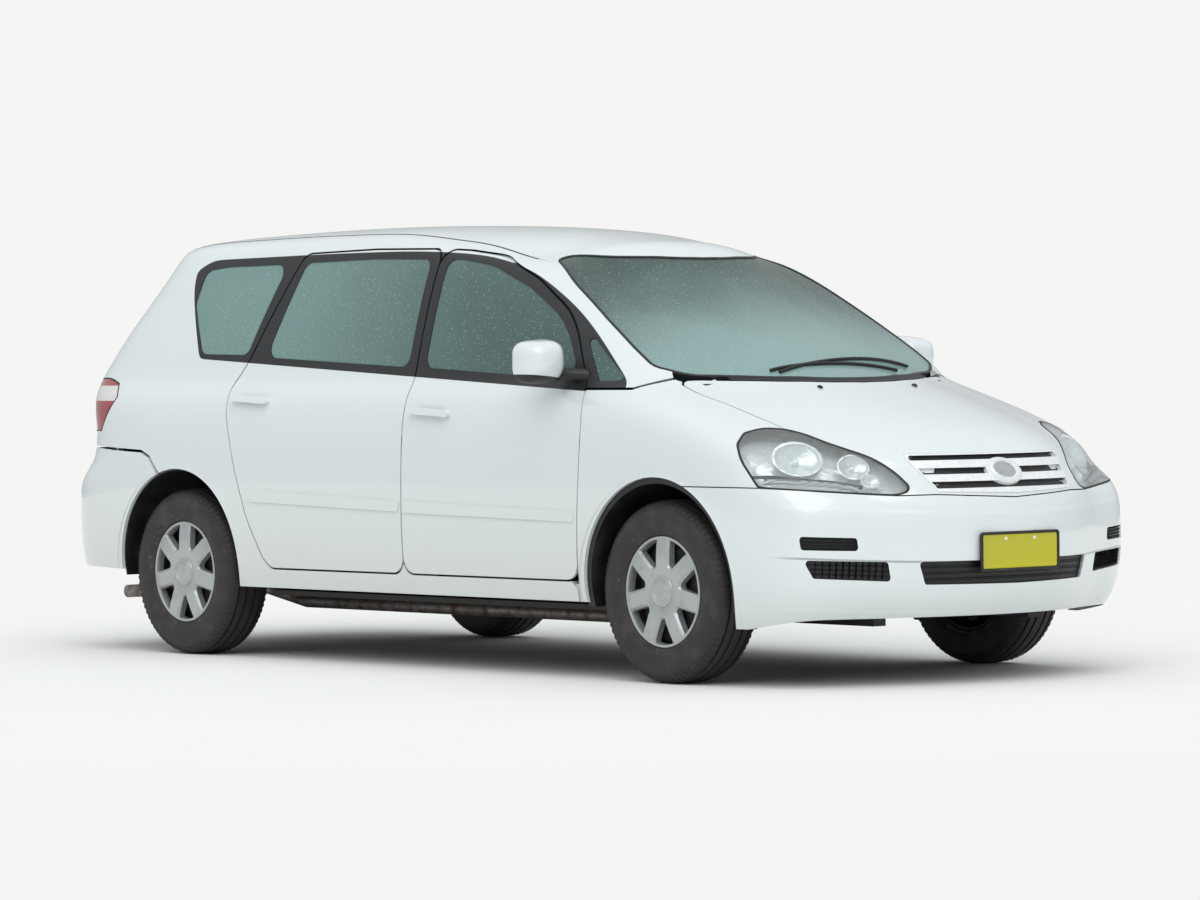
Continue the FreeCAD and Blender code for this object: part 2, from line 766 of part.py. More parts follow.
def behind(gap):
    """The space behind the tailgate's upper edge, which is round about the hinge line."""
    radius = s.lid_setback + gap
    reach = 2 * s.overall_height
    ahead = tail_axis - slope * radius
    top = tail_axis + tail_out * radius
    bend = tail_axis + (tail_out - slope).normalize() * radius
    corners = [ahead, ahead - tail_out * reach, ahead - tail_out * reach + slope * reach,
               top + tail_out * reach + slope * (reach - radius), top + tail_out * reach, top]
    edges = [Part.makeLine(one, other) for one, other in zip(corners, corners[1:])]
    edges.append(Part.Arc(top, bend, ahead).toShape())
    face = Part.Face(Part.Wire(edges))
    face.translate(Vector(0, -2 * s.overrun, 0))
    return face.extrude(Vector(0, s.overall_width, 0))


def lid_bar(start, end, y, thickness):
    """A flat bar across the body's depth, from one place in the side view to another."""
    side = (end - start).normalize().cross(Vector(0, 1, 0)) * (thickness / 2)
    corners = [start + side, end + side, end - side, start - side]
    corners = [Vector(place.x, y - half_leaf, place.z) for place in corners]
    return Part.Face(Part.makePolygon(corners + corners[:1])).extrude(Vector(0, 2 * half_leaf, 0))


# Roof, with a header across its rear that carries the tailgate's hinge leaves
roof_low = up(roof_low_share)
roof = layer(plan_prism(roof_shares, -half_seam, s.corner_radius, roof_low), 0, s.roof_thickness)
roof_cut = plan_prism(roof_shares, half_seam, s.corner_radius, roof_low)
header_back = along(header_share)
header = box(header_back, header_back + s.post_width, 0, across(header_half_share), up(header_low_share),
             2 * s.overall_height)
header = layer(header, s.roof_thickness - s.seat_gap, s.post_depth)
roof = largest(largest(roof).fuse(largest(header)).cut(behind(s.shut_gap)).cut(windshield_cut))
lip_room = box(tailgate_top_x - s.wall, tail_axis.x + s.eye_radius, 0, across(roof_lip_share), roof_low,
               2 * s.overall_height)
roof = roof.cut(lip_room)
leaf = lid_eye(tail_axis.x, tailgate_y, tail_axis.z)
leaf = leaf.fuse(lid_bar(tail_axis, leaf_end, tailgate_y, s.arm_width))
leaf_front = Vector(header_back + s.arm_width, 0, leaf_end.z)
leaf = leaf.fuse(lid_bar(leaf_end, leaf_front, tailgate_y, s.arm_thickness))
roof = roof.fuse(leaf.cut(lid_bore(tail_axis.x, tailgate_y, tail_axis.z)))
add("roof_panel", whole(roof))

# Tailgate and its glass
far_back, far_ahead = [along(share) for share in tail_zone_shares]
tailgate_zone = end_prism(tailgate_shares, far_back, far_ahead, -half_gap, s.corner_radius).common(behind(0))
back_window = end_prism(back_window_shares, far_back, far_ahead, 0, s.glass_radius)
tailgate = largest(layer(tailgate_zone, 0, s.tailgate_thickness).cut(back_window))
tailgate = tailgate.cut(arm_room(tail_axis, slope, tailgate_y, notch_half))
tailgate = tailgate.fuse(lid_pin(tail_axis.x, tailgate_y, tail_axis.z))
add("tailgate", whole(tailgate))
back_glass = end_prism(back_window_shares, far_back, far_ahead, -s.seat_gap, s.glass_radius)
add("tailgate_glass", whole(largest(layer(back_glass, s.glass_sink, s.glass_sink + s.glass))))

# Tail lamps
tailgate_cut = end_prism(tailgate_shares, far_back, far_ahead, half_gap, s.corner_radius)
tailgate_cut = tailgate_cut.common(behind(s.shut_gap))
tail_lamp_cut = corner_prism(tail_lamp_shares, s.tail_lamp_angle, half_seam, s.small_radius)
tail_lamp = layer(corner_prism(tail_lamp_shares, s.tail_lamp_angle, -half_seam, s.small_radius), 0, s.wall)
lamp_seat = corner_prism(tail_lamp_shares, s.tail_lamp_angle, half_seam - s.seat_gap, s.small_radius)
lamp_seat = layer(lamp_seat, s.skin, s.wall)
tail_lamp = largest(tail_lamp.fuse(lamp_seat).cut(tailgate_cut))
add("tail_lamps", Part.Compound([tail_lamp, flipped(tail_lamp)]))

# Rear bumper
rear_bumper = layer(side_prism(rear_bumper_shares, -half_seam), 0, s.skin).cut(tailgate_cut).cut(rear_arch)
add("rear_bumper", whole(largest(rear_bumper)))

# Body sides: sill, pillars, roof rail and quarter panel in one pressing
body_side = layer(side_prism(body_side_shares, -half_seam), 0, s.wall)
front_door_cut = side_prism(front_door_shares, half_gap, s.corner_radius)
rear_door_cut = side_prism(rear_door_shares, half_gap, s.corner_radius)
quarter_window = side_prism(quarter_window_shares, 0, s.glass_radius)
front_quarter = side_prism(front_quarter_shares, 0, s.small_radius)
for cutter in (front_door_cut, rear_door_cut, roof_cut, windshield_cut, tailgate_cut, tail_lamp_cut,
               quarter_window, front_quarter, rear_arch, hood_cut, cowl_cut):
    body_side = body_side.cut(cutter)
body_side = largest(body_side)

# The hinge pillar stands behind the fender, and the middle pillar behind the doors' meeting edges
front_edge_x = max(along(share) for share, level in front_door_shares)
hinge_pillar = layer(side_prism(hinge_pillar_shares), s.skin + s.seat_gap, s.post_depth)
hinge_pillar = hinge_pillar.cut(arch(front_axle_x, s.front_liner_radius + s.seat_gap))
flange_room = arch(front_axle_x, s.arch_radius + s.small_radius + s.seat_gap)
hinge_pillar = hinge_pillar.cut(layer(flange_room, s.skin, s.skin + s.liner_wall + s.seat_gap))
door_room_low, door_room_high = [up(share) for share in pillar_room_shares]
door_room = box(0, nose_x, 0, s.overall_width, door_room_low, door_room_high)
hinge_pillar = hinge_pillar.cut(front_door_cut.common(door_room))
post_start = half_gap + s.seat_gap * 5
post_end = post_start + s.post_width


def post(low, high, outside, reach=s.overall_width):
    """A stretch of the middle pillar between two heights."""
    return layer(box(post_start, post_end, 0, reach, up(low), up(high)), outside, s.post_depth)


post_inset = s.wall + s.pin_gap * 20
post_foot, sill_top, rail_low, post_head = middle_post_shares
middle_pillar = post(post_foot, post_head, post_inset)
middle_pillar = middle_pillar.fuse(post(post_foot, sill_top, s.wall / 2))
roof_seat = s.roof_thickness + s.seat_gap
middle_pillar = middle_pillar.fuse(post(rail_low, post_head, roof_seat, across(post_reach_share)))
body_side = body_side.fuse(largest(hinge_pillar)).fuse(middle_pillar)


def hinge_place(edge_x, heights):
    """The upright hinge line of a door: set back from its front edge and just under the skin."""
    x = edge_x - s.hinge_setback
    return x, min(skin_y(x, z) for z in heights) - s.hinge_depth


def hinge_arm(x, y, z, reach):
    """A fixed hinge leaf: an eye round the pin, a leg inwards and a leg forwards to the pillar."""
    half = s.hinge_height / 2
    leg = half - s.arm_width / 3
    eye = rod(Vector(x, y, z - half), Vector(x, y, z + half), s.eye_radius)
    inner = y - s.arm_reach
    arm = box(x - s.arm_width / 2, x + s.arm_width / 2, inner - s.arm_thickness, y, z - leg, z + leg)
    arm = arm.fuse(box(x - s.arm_width / 2, reach, inner - s.arm_thickness, inner, z - leg, z + leg))
    hole = rod(Vector(x, y, z - half), Vector(x, y, z + half), s.pin_radius + s.pin_gap)
    return eye.fuse(arm).cut(hole)


def hinge_notch(x, y, z):
    """The room that a door leaves for a hinge leaf, behind its skin."""
    half = s.hinge_height / 2 + s.arm_width / 6
    back = x - s.arm_width / 2 - s.eye_radius
    return box(back, x + 2 * s.hinge_setback, 0, y + s.eye_radius + s.pin_gap * 5, z - half, z + half)


def hinge_pin(x, y, z):
    half = s.hinge_height / 2 + s.arm_width
    return rod(Vector(x, y, z - half), Vector(x, y, z + half), s.pin_radius)


hinge_levels = [up(share) for share in hinge_height_shares]
front_hinge = hinge_place(front_edge_x, hinge_levels)
rear_hinge = hinge_place(-half_gap, hinge_levels)
leaf_ends = (front_edge_x + s.hinge_setback / 2, post_start + s.arm_width)
for (x, y), reach in zip((front_hinge, rear_hinge), leaf_ends):
    for z in hinge_levels:
        body_side = body_side.fuse(hinge_arm(x, y, z, reach))
add_pair("body_side", body_side)


def handle(outline, room):
    """A door handle: a bar on two feet, with room for the fingers behind its middle."""
    bar = layer(side_prism(outline, 0, s.small_radius), -s.handle_stand, s.seat_gap)
    return largest(bar.cut(layer(side_prism(room), -s.handle_room, 2 * s.seat_gap)))


def door(outline, window, hinge, fittings):
    """A door: a thin outer skin with a flange all round, and a thicker case set in from it."""
    skin = layer(side_prism(outline, -half_gap, s.corner_radius), 0, s.door_flange)
    case = layer(side_prism(outline, -half_gap - s.door_rebate, s.corner_radius), s.door_flange, s.wall)
    panel = largest(skin).fuse(largest(case)).cut(side_prism(window, 0, s.glass_radius))
    x, y = hinge
    for z in hinge_levels:
        panel = panel.cut(hinge_notch(x, y, z)).fuse(hinge_pin(x, y, z))
    for fitting in fittings:
        panel = panel.fuse(fitting)
    return panel


def pane(window, radius):
    return largest(layer(side_prism(window, -s.seat_gap, radius), s.glass_sink, s.glass_sink + s.glass))


def moulding(outline):
    """A rubbing strip that stands a little proud of a door's skin."""
    return largest(layer(side_prism(outline, 0, s.small_radius / 2), -s.moulding_stand, s.seat_gap))


front_fittings = [handle(front_handle_shares, front_handle_room_shares), moulding(front_moulding_shares)]
rear_fittings = [handle(rear_handle_shares, rear_handle_room_shares), moulding(rear_moulding_shares)]
add_pair("front_door", door(front_door_shares, front_window_shares, front_hinge, front_fittings))
add_pair("rear_door", door(rear_door_shares, rear_window_shares, rear_hinge, rear_fittings))
add_pair("front_door_glass", pane(front_window_shares, s.glass_radius))
add_pair("rear_door_glass", pane(rear_window_shares, s.glass_radius))
fixed_panes = [pane(quarter_window_shares, s.glass_radius), pane(front_quarter_shares, s.small_radius)]
add("quarter_glass", Part.Compound(fixed_panes + [flipped(piece) for piece in fixed_panes]))

# Mirrors: a rounded housing on a foot, carried by the front doors
mirror_x = along(mirror_place_share)
mirror_y = s.overall_width / 2 + s.mirror_reach
mirror_z = up(mirror_height_share)
housing = box(mirror_x - s.mirror_depth / 2, mirror_x + s.mirror_depth / 2, mirror_y - s.mirror_width / 2,
              mirror_y + s.mirror_width / 2, mirror_z - s.mirror_height / 2, mirror_z + s.mirror_height / 2)
ahead_edges = [edge for edge in housing.Edges if edge.BoundBox.XMax > mirror_x]
housing = housing.makeFillet(s.mirror_round, ahead_edges)
foot_x = along(mirror_foot_shares[0])
foot_z = up(mirror_foot_shares[1])
foot_start = Vector(mirror_x, mirror_y - s.mirror_width / 4, mirror_z)
foot_end = Vector(foot_x, skin_y(foot_x, foot_z) - s.small_radius, foot_z)
mirror = housing.fuse(rod(foot_start, foot_end, s.mirror_foot_radius))
add_pair("mirror", largest(mirror.cut(inset_solid(-s.seat_gap))))

# Cabin floor and the firewall with its shelf, cut to lie just inside the walls
cavity = inset_solid(s.post_depth + s.seat_gap)


def well(axle_x):
    """The room for one wheel, inside its liner."""
    room = box(axle_x - s.arch_radius, axle_x + s.arch_radius, s.liner_inner - s.seat_gap, s.overall_width,
               0, s.overall_height)
    return arch(axle_x, s.arch_radius).common(room)


wheel_wells = well(rear_axle_x).fuse(well(front_axle_x))
floor_low = s.floor_height - s.floor_thickness
floor_back = along(floor_back_share)
firewall_x = along(firewall_share)
floor = box(floor_back, firewall_x, -s.overrun, s.overall_width, floor_low, s.floor_height)
loft_x = along(loft_front_share)
loft_low = up(loft_share)
loft_top = loft_low + s.floor_thickness
loft = box(floor_back, loft_x, -s.overrun, s.overall_width, loft_low, loft_top)
riser_back = loft_x - s.floor_thickness
riser = box(riser_back, loft_x, -s.overrun, s.overall_width, floor_low, loft_top)
under_loft = box(floor_back * 2, riser_back, -s.overrun * 2, 2 * s.overall_width, 0, s.floor_height * 2)
floor = floor.cut(under_loft)
bush_radius = s.strut_radius + s.small_radius / 2
pivot_x = along(trailing_pivot_share)
pivot_y = s.liner_inner - s.overrun
bracket_front = loft_x - s.small_radius
bracket_low = s.floor_height + bush_radius + s.seat_gap
bracket = box(pivot_x - s.small_radius, bracket_front, pivot_y - s.strut_radius, pivot_y + s.strut_radius,
              bracket_low, s.floor_height + 2 * bush_radius)
floor = floor.fuse(loft).fuse(riser).fuse(bracket).common(cavity).cut(wheel_wells)
add("floor_pan", whole(largest(floor)))
firewall_top = up(firewall_top_share)
firewall = box(firewall_x, firewall_x + s.lid, -s.overrun, s.overall_width, floor_low, firewall_top)
shelf_top = hood_hinge_z - 2 * s.wall
shelf = box(firewall_x, hood_hinge_x + s.lid, -s.overrun, s.overall_width, shelf_top - s.wall, shelf_top)
firewall = firewall.fuse(shelf).common(inset_solid(s.post_depth + s.seat_gap)).cut(wheel_wells)
leaf_post = box(hood_hinge_x - s.arm_width / 2, hood_hinge_x + s.arm_width / 2, hood_hinge_y - half_leaf,
                hood_hinge_y + half_leaf, shelf_top - s.arm_width, hood_hinge_z)
leaf = lid_eye(hood_hinge_x, hood_hinge_y, hood_hinge_z).fuse(leaf_post)
leaf = leaf.cut(lid_bore(hood_hinge_x, hood_hinge_y, hood_hinge_z))
add("firewall", whole(largest(firewall).fuse(leaf)))

# Wheel-well liners
def liner(axle_x, radius, low):
    """A round black liner over one wheel, closed towards the middle above the axle."""
    back, front = axle_x - radius, axle_x + radius
    tube = arch(axle_x, radius).cut(arch(axle_x, radius - s.liner_wall))
    wall_low = s.tyre_radius + s.wall
    wall = box(back, front, s.liner_inner, s.liner_inner + s.liner_wall, wall_low, s.overall_height)
    wall = wall.common(arch(axle_x, radius))
    above = box(back, front, s.liner_inner, s.overall_width, low, s.overall_height)
    return tube.common(above).fuse(wall).common(inset_solid(s.skin + s.seat_gap))


front_liner = liner(front_axle_x, s.front_liner_radius, s.floor_height)
flange = arch(front_axle_x, s.arch_radius + s.small_radius)
flange = flange.cut(arch(front_axle_x, s.front_liner_radius - s.liner_wall))
flange = flange.common(box(0, nose_x, s.liner_inner, s.overall_width, s.floor_height, s.overall_height))
flange = layer(flange, s.skin + s.seat_gap, s.skin + s.liner_wall)
front_liner = front_liner.fuse(flange)
rear_liner = liner(rear_axle_x, s.arch_radius - s.seat_gap, s.floor_height + s.overrun)
liners = [largest(front_liner), largest(rear_liner)]
add("wheel_liners", Part.Compound(liners + [flipped(piece) for piece in liners]))

# Engine, as one block, and the radiator frame that carries the lamps and the bumper
engine = doc.addObject("Part::Box", "engine")
engine.Label = "engine"
for side, formula in (("Length", "engine_length"), ("Width", "engine_width"), ("Height", "engine_height")):
    engine.setExpression(side, "Sizes.%s" % formula)
engine_corner = Vector(front_axle_x - s.engine_length / 2, -s.engine_width / 2, s.floor_height)
engine.Placement = Placement(engine_corner, Rotation())
nodes.append(engine)
frame_x = along(frame_share)
frame = box(frame_x, frame_x + s.lid, -s.overrun, s.overall_width, floor_low, lid_low)
frame = frame.common(inset_solid(s.wall + s.seat_gap))
radiator_half, radiator_top = across(radiator_shares[0]), up(radiator_shares[1])
radiator_low = s.floor_height + s.wall
opening = box(frame_x - s.wall, frame_x + s.wall, -s.overrun, radiator_half, radiator_low, radiator_top)
add("radiator_frame", whole(largest(frame.cut(opening))))

# Seats: two in front, a bench of three and a bench of two
def seat(x, y, z, floor_z, width):
    """A cushion, a leaning back and a headrest in one solid, with its hip point above x."""
    half = s.seat_depth / 2
    third = s.seat_depth / 3
    cushion = box(x - half, x + half, y - width / 2, y + width / 2, z, z + s.cushion_height)
    foot = box(x - third, x + third, y - width / 3, y + width / 3, floor_z + s.seat_gap, z)
    back = box(0, s.back_thickness, y - width / 2, y + width / 2, 0, s.back_height)
    rest_half = s.headrest_width / 2
    rest = box(s.small_radius, s.back_thickness - s.small_radius, y - rest_half, y + rest_half,
               s.back_height - s.small_radius, s.back_height + s.headrest_height)
    short_edges = [edge for edge in back.Edges if edge.Length < s.back_thickness * 1.01]
    back = back.makeFillet(s.corner_radius / 2, short_edges)
    back = back.fuse(rest)
    back_foot = Vector(x - half - s.back_thickness / 2, 0, z)
    back.Placement = Placement(back_foot, Rotation(Vector(0, 1, 0), -s.back_lean))
    cushion = cushion.makeFillet(s.corner_radius / 3, cushion.Edges)
    return cushion.fuse(foot).fuse(back)


front_y = across(front_seat_share)
hip = s.floor_height + s.seat_height
front_seat_x, middle_seat_x, loft_seat_x = [along(share) for share in seat_row_shares]
front_seat = seat(front_seat_x, front_y, hip, s.floor_height, s.seat_width)
add("front_seats", Part.Compound([front_seat, flipped(front_seat)]))
middle_seat = seat(middle_seat_x, 0, hip, s.floor_height, s.bench_width)
add("second_row_seat", middle_seat)
loft_seat = seat(loft_seat_x, 0, loft_top + s.seat_height / 3, loft_top, s.rear_bench_width)
add("third_row_seat", loft_seat)

# Dashboard with the steering column
dash_back = firewall_x - s.seat_gap
dash_foot, dash_low, dash_top = [up(share) for share in dash_shares]
dash = box(dash_back - s.dash_depth, dash_back, -s.overrun, s.overall_width, dash_foot, dash_top)
knee_front = dash_back - s.wall
under_dash = box(dash_back - 2 * s.dash_depth, knee_front, -2 * s.overrun, s.overall_width, 0, dash_low)
dash = dash.cut(under_dash)
dash = whole(dash.common(inset_solid(s.post_depth + s.wall)))
wheel_middle = Vector(along(steering_shares[0]), -front_y, up(steering_shares[1]))
column_way = Vector(math.cos(math.radians(s.column_angle)), 0, -math.sin(math.radians(s.column_angle)))
column_start = wheel_middle + column_way * s.wall
dash = dash.fuse(rod(column_start, wheel_middle + column_way * (s.dash_depth * 2), s.column_radius))
dash = dash.cut(box(dash_back, nose_x, -s.overall_width, s.overall_width, 0, s.overall_height))
add("dashboard", largest(dash))

# Steering wheel
steering_wheel = Part.makeTorus(s.wheel_ring_radius, s.wheel_ring_thickness / 2)
for turn in (-30, 90, 210):
    heading = Vector(math.cos(math.radians(turn)), math.sin(math.radians(turn)), 0)
    spoke = rod(Vector(0, 0, 0), heading * s.wheel_ring_radius, s.wheel_ring_thickness / 3)
    steering_wheel = steering_wheel.fuse(spoke)
hub = rod(Vector(0, 0, -s.small_radius * 2), Vector(0, 0, s.small_radius), s.column_radius * 2)
shaft = rod(Vector(0, 0, -s.wall + s.seat_gap), Vector(0, 0, 0), s.column_radius / 2)
facing = Placement(wheel_middle, Rotation(Vector(0, 0, 1), Vector(-column_way.x, 0, -column_way.z)))
add("steering_wheel", steering_wheel.fuse(hub).fuse(shaft), facing)

# Wheels
def profile(body, plane, corners):
    """A closed sketch through corners given as formulas of the sheet's cells."""
    sketch = body.newObject("Sketcher::SketchObject", body.Name + "_profile")
    origin = [item for item in body.Origin.OriginFeatures if item.Role == plane][0]
    sketch.AttachmentSupport = [(origin, "")]
    sketch.MapMode = "FlatFace"
    places = [(float(sheet.evalExpression(a)), float(sheet.evalExpression(b))) for a, b in corners]
    for i, (a, b) in enumerate(places):
        following = places[(i + 1) % len(places)]
        sketch.addGeometry(Part.LineSegment(Vector(a, b, 0), Vector(following[0], following[1], 0)), False)
    for i in range(len(places)):
        sketch.addConstraint(Sketcher.Constraint("Coincident", i, 2, (i + 1) % len(places), 1))
    for i, (formulas, place) in enumerate(zip(corners, places)):
        for kind, formula, value in zip(("DistanceX", "DistanceY"), formulas, place):
            index = sketch.addConstraint(Sketcher.Constraint(kind, -1, 1, i, 1, value))
            sketch.setExpression("Constraints[%d]" % index, sheet_formula(formula))
    return sketch


def sheet_formula(formula):
    """A formula of cell names, written as the document reads it."""
    words = sorted(sizes, key=len, reverse=True)
    out = ""
    place = 0
    while place < len(formula):
        for word in words:
            if formula.startswith(word, place):
                out += "Sizes." + word
                place += len(word)
                break
        else:
            out += formula[place]
            place += 1
    return out


def turned(body, corners):
    """A solid of revolution about the body's Y axis."""
    sketch = profile(body, "XY_Plane", corners)
    turn = body.newObject("PartDesign::Revolution", body.Name + "_turn")
    turn.Profile = sketch
    turn.ReferenceAxis = (sketch, ["V_Axis"])
    turn.Angle = 360
    doc.recompute()
    return turn


tyre_corners = (
    ("bead_radius", "-rim_width / 2"), ("bead_radius", "rim_width / 2"),
    ("bead_radius + tyre_shoulder / 2", "tyre_width / 2 - small_radius / 2"),
    ("bead_radius + tyre_shoulder * 2", "tyre_width / 2"),
    ("tyre_radius - tyre_shoulder * 5 / 4", "tyre_width / 2 - small_radius / 4"),
    ("tyre_radius - tyre_shoulder / 4", "tyre_width / 2 - tyre_shoulder * 3 / 4"),
    ("tyre_radius", "tyre_width / 2 - tyre_shoulder * 5 / 4"),
    ("tyre_radius", "tyre_shoulder * 5 / 4 - tyre_width / 2"),
    ("tyre_radius - tyre_shoulder / 4", "tyre_shoulder * 3 / 4 - tyre_width / 2"),
    ("tyre_radius - tyre_shoulder * 5 / 4", "small_radius / 4 - tyre_width / 2"),
    ("bead_radius + tyre_shoulder * 2", "-tyre_width / 2"),
    ("bead_radius + tyre_shoulder / 2", "small_radius / 2 - tyre_width / 2"),
)
rim_corners = (
    ("bore_radius", "cover_face - disc_thickness * 2"),
    ("bore_radius", "cover_face + cover_thickness"),
    ("bead_radius - rim_wall - seat_gap", "cover_face + cover_thickness / 2"),
    ("bead_radius - seat_gap", "rim_width / 2"),
    ("bead_radius - seat_gap", "-rim_width / 2"),
    ("bead_radius - rim_wall - seat_gap", "-rim_width / 2"),
    ("bead_radius - rim_wall - seat_gap", "cover_face - cover_thickness / 2"),
    ("disc_radius / 2", "cover_face - cover_thickness / 2"),
    ("disc_radius / 2", "cover_face - disc_thickness * 2"),
)
hub_corners = (
    ("0", "cover_face + cover_thickness * 3 / 2"),
    ("hub_radius", "cover_face + cover_thickness * 3 / 2"),
    ("hub_radius", "cover_face - disc_thickness * 2"),
    ("disc_radius", "cover_face - disc_thickness * 2"),
    ("disc_radius", "cover_face - disc_thickness * 3"),
    ("hub_radius", "cover_face - disc_thickness * 3"),
    ("hub_radius", "cover_face - disc_thickness * 3 - hub_radius"),
    ("0", "cover_face - disc_thickness * 3 - hub_radius"),
)


def wheel(name, x, side):
    """A tyre and its wheel, the wheel pierced by openings between its spokes."""
    facing = Rotation(Vector(0, 0, 1), 0 if side > 0 else 180)
    middle = Placement(Vector(x, side * s.track_width / 2, s.tyre_radius), facing)
    tyre = doc.addObject("PartDesign::Body", name + "_tyre")
    turned(tyre, tyre_corners)
    tyre.Label = "tyre_" + name
    tyre.Placement = middle
    nodes.append(tyre)
    disc = doc.addObject("PartDesign::Body", name + "_rim")
    turned(disc, rim_corners)
    hub = doc.addObject("PartDesign::Body", name + "_hub")
    turned(hub, hub_corners)
    joined = doc.addObject("Part::Fuse", name + "_wheel")
    joined.Base = disc
    joined.Tool = hub
    holes = []
    for turn in range(int(s.spoke_count)):
        holes.append(spoke_hole(360 * (turn + 0.5) / s.spoke_count))
    doc.recompute()
    pierced = joined.Shape.cut(Part.Compound(holes))
    feature = doc.addObject("Part::Feature", name + "_cover")
    feature.Shape = pierced
    feature.Label = "rim_" + name
    feature.Placement = middle
    nodes.append(feature)


def spoke_hole(turn):
    """A rounded, tapering opening between two spokes, right through the wheel's face."""
    outer = s.bead_radius - 2 * s.rim_wall
    inner = s.disc_radius / 2 + s.rim_wall
    points = []
    for radius, spread in ((inner, s.opening_inner / 2), (outer, s.opening_outer / 2)):
        for sign in (-1, 1) if radius == inner else (1, -1):
            points.append(Vector(radius, 0, sign * spread))
    face = Part.Face(rounded(points, s.small_radius))
    hole = face.extrude(Vector(0, s.overrun * 2, 0))
    hole.translate(Vector(0, s.cover_face - s.overrun, 0))
    hole.rotate(Vector(0, 0, 0), Vector(0, 1, 0), turn)
    return hole


for axle, x in (("front", front_axle_x), ("rear", rear_axle_x)):
    for side_name, side in (("left", 1), ("right", -1)):
        wheel("%s_%s" % (axle, side_name), x, side)

# Knuckles with their struts turn about a line from the ball joint to the strut's top
ball = Vector(front_axle_x, s.kingpin_offset, s.ball_joint_height)
strut_top = Vector(front_axle_x, s.kingpin_top, s.strut_top_height)
lean = (strut_top - ball).normalize()
hub_y = s.track_width / 2 + s.cover_face - 3 * s.disc_thickness - s.hub_radius
wheel_height = s.tyre_radius
carrier_start = Vector(front_axle_x, hub_y - s.wall / 2, wheel_height)
carrier_end = Vector(front_axle_x, hub_y + s.hub_radius - s.small_radius / 2, wheel_height)
carrier_middle = Vector(front_axle_x, hub_y - s.wall / 4, wheel_height)
carrier = rod(carrier_start, carrier_end, s.hub_radius + s.small_radius * 2)
strut_foot = ball + lean * ((wheel_height - ball.z) / lean.z + s.hub_radius)
strut = rod(strut_foot, strut_top - lean * s.seat_gap, s.strut_radius)
bridge = rod(carrier_middle, strut_foot + lean * s.strut_radius, s.strut_radius)
stem = rod(ball + lean * s.strut_radius, carrier_middle, s.strut_radius * 2 / 3)
knuckle = carrier.fuse(strut).fuse(bridge).fuse(stem)
bore_start = Vector(front_axle_x, hub_y - s.pin_gap, wheel_height)
bore_end = Vector(front_axle_x, s.overall_width, wheel_height)
knuckle = knuckle.cut(rod(bore_start, bore_end, s.hub_radius + s.pin_gap))
stud_radius = s.small_radius * 2 / 3
ball_stud = rod(ball - lean * s.small_radius, ball + lean * (s.strut_radius + s.small_radius), stud_radius)
knuckle = knuckle.fuse(ball_stud)
add_pair("front_knuckle", knuckle)

# Front subframe with the lower arms, and rails back to the floor and forward to the radiator frame
beam_low = s.bumper_bottom
rail_top = floor_low - s.seat_gap
beam = box(front_axle_x - s.wall * 2, front_axle_x + s.wall * 2, -s.overrun, pivot_y, beam_low, rail_top)
saddle_top = s.floor_height - s.seat_gap
saddle_end = pivot_y - s.wall
saddle = box(front_axle_x - s.wall, front_axle_x + s.wall, -s.overrun, saddle_end, beam_low, saddle_top)
rail = box(firewall_x - 2 * s.wall, frame_x + s.lid, pivot_y - s.wall, pivot_y, beam_low, rail_top)
arm = rod(Vector(front_axle_x, pivot_y - s.small_radius, s.ball_joint_height), ball, s.strut_radius * 3 / 4)
socket = rod(ball - lean * s.strut_radius, ball + lean * (s.strut_radius - s.small_radius), s.strut_radius)
bored = rod(ball - lean * s.overrun, ball + lean * s.overrun, stud_radius + s.pin_gap)
subframe = beam.fuse(saddle).fuse(rail).fuse(arm).fuse(socket).cut(bored)
add("front_subframe", whole(subframe))

# Rear beam axle on trailing arms
rear_hub_y = s.track_width / 2 + s.cover_face - 3 * s.disc_thickness - s.hub_radius
stub_end = Vector(rear_axle_x, rear_hub_y - s.pin_gap, wheel_height)
stub = rod(Vector(rear_axle_x, rear_hub_y - s.wall, wheel_height), stub_end, s.hub_radius)
pivot = Vector(pivot_x, pivot_y, s.floor_height)
trail = rod(Vector(rear_axle_x, rear_hub_y - s.wall, wheel_height), pivot, s.strut_radius)
bush = rod(pivot - Vector(0, s.strut_radius, 0), pivot + Vector(0, s.strut_radius, 0), bush_radius)
beam_x = (rear_axle_x + pivot_x) / 2
beam_end = (rear_hub_y - s.wall + pivot_y) / 2
beam_start = Vector(beam_x, -s.overrun, s.floor_height)
cross_beam = rod(beam_start, Vector(beam_x, beam_end, s.floor_height), s.strut_radius)
rear_axle = stub.fuse(trail).fuse(bush).fuse(cross_beam)
add("rear_axle", whole(largest(rear_axle)))

# Exhaust
exhaust_z = s.floor_height - s.floor_thickness - s.exhaust_radius * 2
run = [Vector(along(x), across(y), exhaust_z + rise * s.wall / 3) for x, y, rise in exhaust_places]
exhaust = rod(run[0], run[1], s.exhaust_radius)
for start, end in zip(run[1:], run[2:]):
    exhaust = exhaust.fuse(Part.makeSphere(s.exhaust_radius, start)).fuse(rod(start, end, s.exhaust_radius))
tail_run = run[3] - run[2]
muffler = rod(run[2] + tail_run * s.muffler_start, run[2] + tail_run * s.muffler_end, s.exhaust_radius * 3)
exhaust = exhaust.fuse(muffler)
for share, top in zip(hanger_shares, (floor_low, floor_low, loft_low)):
    x = along(share)
    foot = Vector(x, run[0].y, exhaust_z)
    if x < run[2].x:
        foot = run[2] + tail_run * ((x - run[2].x) / tail_run.x)
    exhaust = exhaust.fuse(rod(foot, Vector(x, foot.y, top - s.seat_gap), s.small_radius / 2))
add("exhaust", exhaust)

